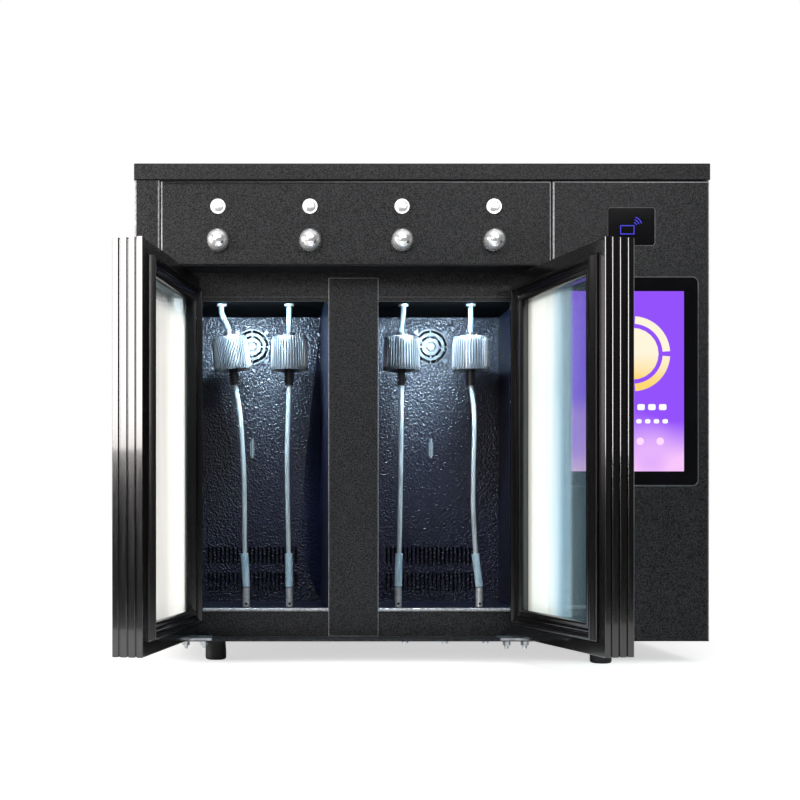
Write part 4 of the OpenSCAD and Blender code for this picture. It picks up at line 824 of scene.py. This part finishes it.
def thicken(bm, shift):
    """A flat mesh in mm gets the thickness of a shift, and its size in metres."""
    made = bmesh.ops.extrude_face_region(bm, geom=bm.faces)
    bmesh.ops.translate(bm, verts=new_verts(made), vec=shift)
    bmesh.ops.recalc_face_normals(bm, faces=bm.faces)
    bmesh.ops.scale(bm, verts=bm.verts, vec=(mm, mm, mm))


def plate(name, width, height, corner, middle, face_y, thick, material):
    """A flat plate with rounded corners, of sizes in mm, its middle at (x, z) in mm."""
    bm = bmesh.new()
    bmesh.ops.create_grid(bm, x_segments=1, y_segments=1, size=0.5)
    bmesh.ops.scale(bm, verts=bm.verts, vec=(width, height, 1))
    if corner:
        bmesh.ops.bevel(bm, geom=bm.verts, offset=corner, affect="VERTICES", segments=6,
                        profile=0.5, material=-1)
    thicken(bm, (0, 0, thick))
    bm.transform(Matrix.Translation((middle[0] * mm, face_y, middle[1] * mm))
                 @ Matrix.Rotation(pi / 2, 4, "X"))
    return piece(name, bm, material, "cabinet")


def arc(name, outer, inner, start, end, middle, face_y, thick, material):
    """A flat piece of a ring between two angles, in degrees from the top."""
    steps = max(2, int((end - start) / 6))
    bm = bmesh.new()
    rims = []
    for k in range(steps + 1):
        turn = radians(start + (end - start) * k / steps)
        rims.append([bm.verts.new((middle[0] + r * sin(turn), 0, middle[1] + r * cos(turn)))
                     for r in (outer, inner)])
    for first, second in zip(rims, rims[1:]):
        bm.faces.new((first[0], second[0], second[1], first[1]))
    thicken(bm, (0, -thick, 0))
    bmesh.ops.translate(bm, verts=bm.verts, vec=(0, face_y, 0))
    return piece(name, bm, material, "cabinet")


def lit(name, low, high, bottom=0.0, top=1.0):
    """A glowing finish that runs from one colour to another between two heights in metres.

    It wavers in patches of 45 mm, as light does that is spread by a sheet."""
    material, tree, shader = finish(name, {
        "Base Color": linear("#050505"), "Roughness": 0.1, "Emission Strength": 1.0})
    place = add(tree, "TexCoord")
    parts = add(tree, "SeparateXYZ", {"Vector": place.outputs["Object"]})
    share = add(tree, "MapRange", {"Value": parts.outputs["Z"], "From Min": bottom,
                                   "From Max": top})
    blur = add(tree, "TexNoise", {"Vector": place.outputs["Object"], "Scale": 0.022 / mm,
                                  "Detail": 0.0})
    sway = add(tree, "Math", {0: blur.outputs["Fac"], 1: 0.35, 2: share.outputs[0]},
               operation="MULTIPLY_ADD")
    ramp = add(tree, "ValToRGB", {"Fac": sway.outputs[0]})
    ramp.color_ramp.elements[0].position = 0.18
    ramp.color_ramp.elements[0].color = linear(low)
    ramp.color_ramp.elements[1].position = 0.62
    ramp.color_ramp.elements[1].color = linear(high)
    tree.links.new(ramp.outputs["Color"], shader.inputs["Emission Color"])
    return material


# The display's lit pixels: a violet page that pales to pink at its foot, a pale gold dial,
# white gauges and rose lights.
low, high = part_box("screen_glass")
glass_mid = ((low.x + high.x) / 2 / mm, (low.z + high.z) / 2 / mm)
page = lit("lit_violet_page", "#f8c5fc", "#9350fb", bottom=low.z + 16 * mm,
           top=high.z - 60 * mm)
gold = lit("lit_pale_gold", "#ffd873", "#fff6dc", bottom=low.z + 130 * mm,
           top=low.z + 200 * mm)
white = lit("lit_white", "#ffffff", "#ffffff")
rose = lit("lit_rose", "#ffe3ff", "#ffd2ff")
page_y = low.y - 0.02 * mm
print_y = page_y - 0.11 * mm
plate("screen_page", page_w, page_h, 0.6, (glass_mid[0] - 1, glass_mid[1]), page_y, page_t,
      page)
dial = (glass_mid[0] + 3, glass_mid[1] + 33)
for part in range(4):
    arc(f"screen_dial_{part}", dial_outer, dial_inner, part * 90 + dial_gap,
        part * 90 + 90 - dial_gap, dial, print_y, print_t, gold)
plate("screen_dial_middle", dial_middle_d, dial_middle_d, dial_middle_d / 2 - 0.1, dial,
      print_y, print_t, gold)
# Below it, two gauges, each of a count of blocks of some width, and a row of lights
for row, (count, width) in enumerate(gauges):
    for step in range(count):
        at = (step - (count - 1) / 2) * (width + gauge_gap)
        plate(f"screen_level_{row}_{step}", width, width * 0.8, 2,
              (glass_mid[0] + at, glass_mid[1] - gauge_low - row * gauge_pitch), print_y,
              print_t, white)
for spot in range(4):
    plate(f"screen_spot_{spot}", spot_d, spot_d, spot_d / 2 - 0.1,
          (glass_mid[0] + (spot - 1.5) * spot_pitch, glass_mid[1] - spot_low), print_y,
          print_t, rose)

# The reader's symbol is a lit print: an even indigo.
indigo = lit("lit_indigo", "#4b46ee", "#4b46ee")
low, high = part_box("reader_window")
symbol_y = low.y - 0.12 * mm
card = ((low.x + high.x) / 2 / mm - 5, (low.z + high.z) / 2 / mm - 4)
for row in (-1, 1):
    plate(f"reader_card_edge_{row}", card_w, card_line, 0,
          (card[0], card[1] + row * (card_h - card_line) / 2), symbol_y, symbol_t, indigo)
    plate(f"reader_card_side_{row}", card_line, card_h, 0,
          (card[0] + row * (card_w - card_line) / 2, card[1]), symbol_y, symbol_t, indigo)
# The waves spread from the card's upper right corner
for wave in range(3):
    r = wave_r + wave * wave_pitch
    arc(f"reader_wave_{wave}", r + wave_line, r, 15, 75, (card[0] + 7, card[1] + 5), symbol_y,
        symbol_t, indigo)

# --- Studio -----------------------------------------------------------------------------
# A pale paper floor and a white surround under a soft sun. Large windows stand at the left
# of the camera and of the doors. A soft box hangs above the camera, and a small one to its
# right.

# Paper, matt: it takes the shadow, and to the camera it is lifted to white.
paper, tree, shader = finish("studio_paper", {
    "Roughness": 0.9, "Specular IOR Level": 0.0, "Emission Color": linear("#ffffff")})
ray = add(tree, "LightPath")
place = add(tree, "TexCoord")
fleck = add(tree, "TexNoise", {"Vector": place.outputs["Object"], "Scale": 1 / (12 * mm)})
tone = add(tree, "Mix", {0: fleck.outputs["Fac"], 6: linear("#f6f6f6"), 7: linear("#f9f9f9")},
           data_type="RGBA")
tree.links.new(tone.outputs[2], shader.inputs["Base Color"])
lift = add(tree, "Math", {0: ray.outputs["Is Camera Ray"], 1: 0.6}, operation="MULTIPLY")
tree.links.new(lift.outputs[0], shader.inputs["Emission Strength"])
bm = bmesh.new()
bmesh.ops.create_grid(bm, x_segments=1, y_segments=1, size=15)
bmesh.ops.translate(bm, verts=bm.verts, vec=(0, 14.1, 0))
mesh = bpy.data.meshes.new("studio_floor")
bm.to_mesh(mesh)
bm.free()
floor = bpy.data.objects.new("studio_floor", mesh)
mesh.materials.append(paper)
bpy.context.scene.collection.objects.link(floor)

# The camera and clear glass see white. Gloss sees a pale wall behind the object and a pale
# ceiling, and dark towards the camera, and the rest is lit evenly.
world = bpy.data.worlds.new("studio")
bpy.context.scene.world = world
world.use_nodes = True
tree = world.node_tree
tree.nodes.clear()
ray = add(tree, "LightPath")
place = add(tree, "TexCoord")
parts = add(tree, "SeparateXYZ", {"Vector": place.outputs["Generated"]})
behind = add(tree, "MapRange", {"Value": parts.outputs["Y"], "From Min": -0.2, "From Max": 0.4,
                                "To Min": 0.05, "To Max": 1.0},
             interpolation_type="SMOOTHSTEP")
ceiling = add(tree, "MapRange", {"Value": parts.outputs["Z"], "From Min": 0.3, "From Max": 0.8,
                                 "To Min": 0.0, "To Max": 0.8},
              interpolation_type="SMOOTHSTEP")
room = add(tree, "Math", {0: behind.outputs[0], 1: ceiling.outputs[0]}, operation="MAXIMUM")
seen = add(tree, "Math", {0: ray.outputs["Is Camera Ray"], 1: ray.outputs["Is Transmission Ray"]},
           operation="MAXIMUM")
shown = add(tree, "Mix", {0: ray.outputs["Is Glossy Ray"], 2: 0.32, 3: room.outputs[0]})
level = add(tree, "Mix", {0: seen.outputs[0], 2: shown.outputs[0], 3: 1.0})
back = add(tree, "Background", {"Color": linear("#ffffff"), "Strength": level.outputs[0]})
add(tree, "OutputWorld", {"Surface": back.outputs[0]})


def lamp(name, kind, place, aim, power, color=(1, 1, 1), size=(1, 1)):
    """A light that looks from one place at another.

    Its size is a sun's angle in degrees, or the two sides of an area light in metres."""
    light = bpy.data.lights.new(name, kind)
    light.energy = power
    light.color = color
    if kind == "AREA":
        light.shape = "RECTANGLE"
        light.size, light.size_y = size
    else:
        light.angle = radians(size)
    made = bpy.data.objects.new(name, light)
    made.location = place
    made.rotation_euler = (Vector(aim) - Vector(place)).to_track_quat("-Z", "Y").to_euler()
    bpy.context.scene.collection.objects.link(made)


lamp("studio_sun", "SUN", (-0.8, -2.4, 2.2), (0, 0, 0.1), 0.85, size=50)
lamp("studio_window", "AREA", (-1.06, -1.6, 0.61), (-0.33, -0.24, 0.38), 15,
     (1.0, 0.95, 0.94), (0.7, 0.58))
lamp("studio_side_window", "AREA", (-1.7, -0.45, 0.5), (-0.3, -0.25, 0.3), 22,
     (1.0, 0.97, 0.95), (0.9, 0.8))
lamp("studio_soft_box", "AREA", (0.05, -1.75, 1.35), (0.1, -0.1, 0.5), 7, size=(1.3, 1.0))
lamp("studio_high_box", "AREA", (0.69, -1.75, 1.08), (0.2, -0.1, 0.5), 5, size=(0.3, 0.16))
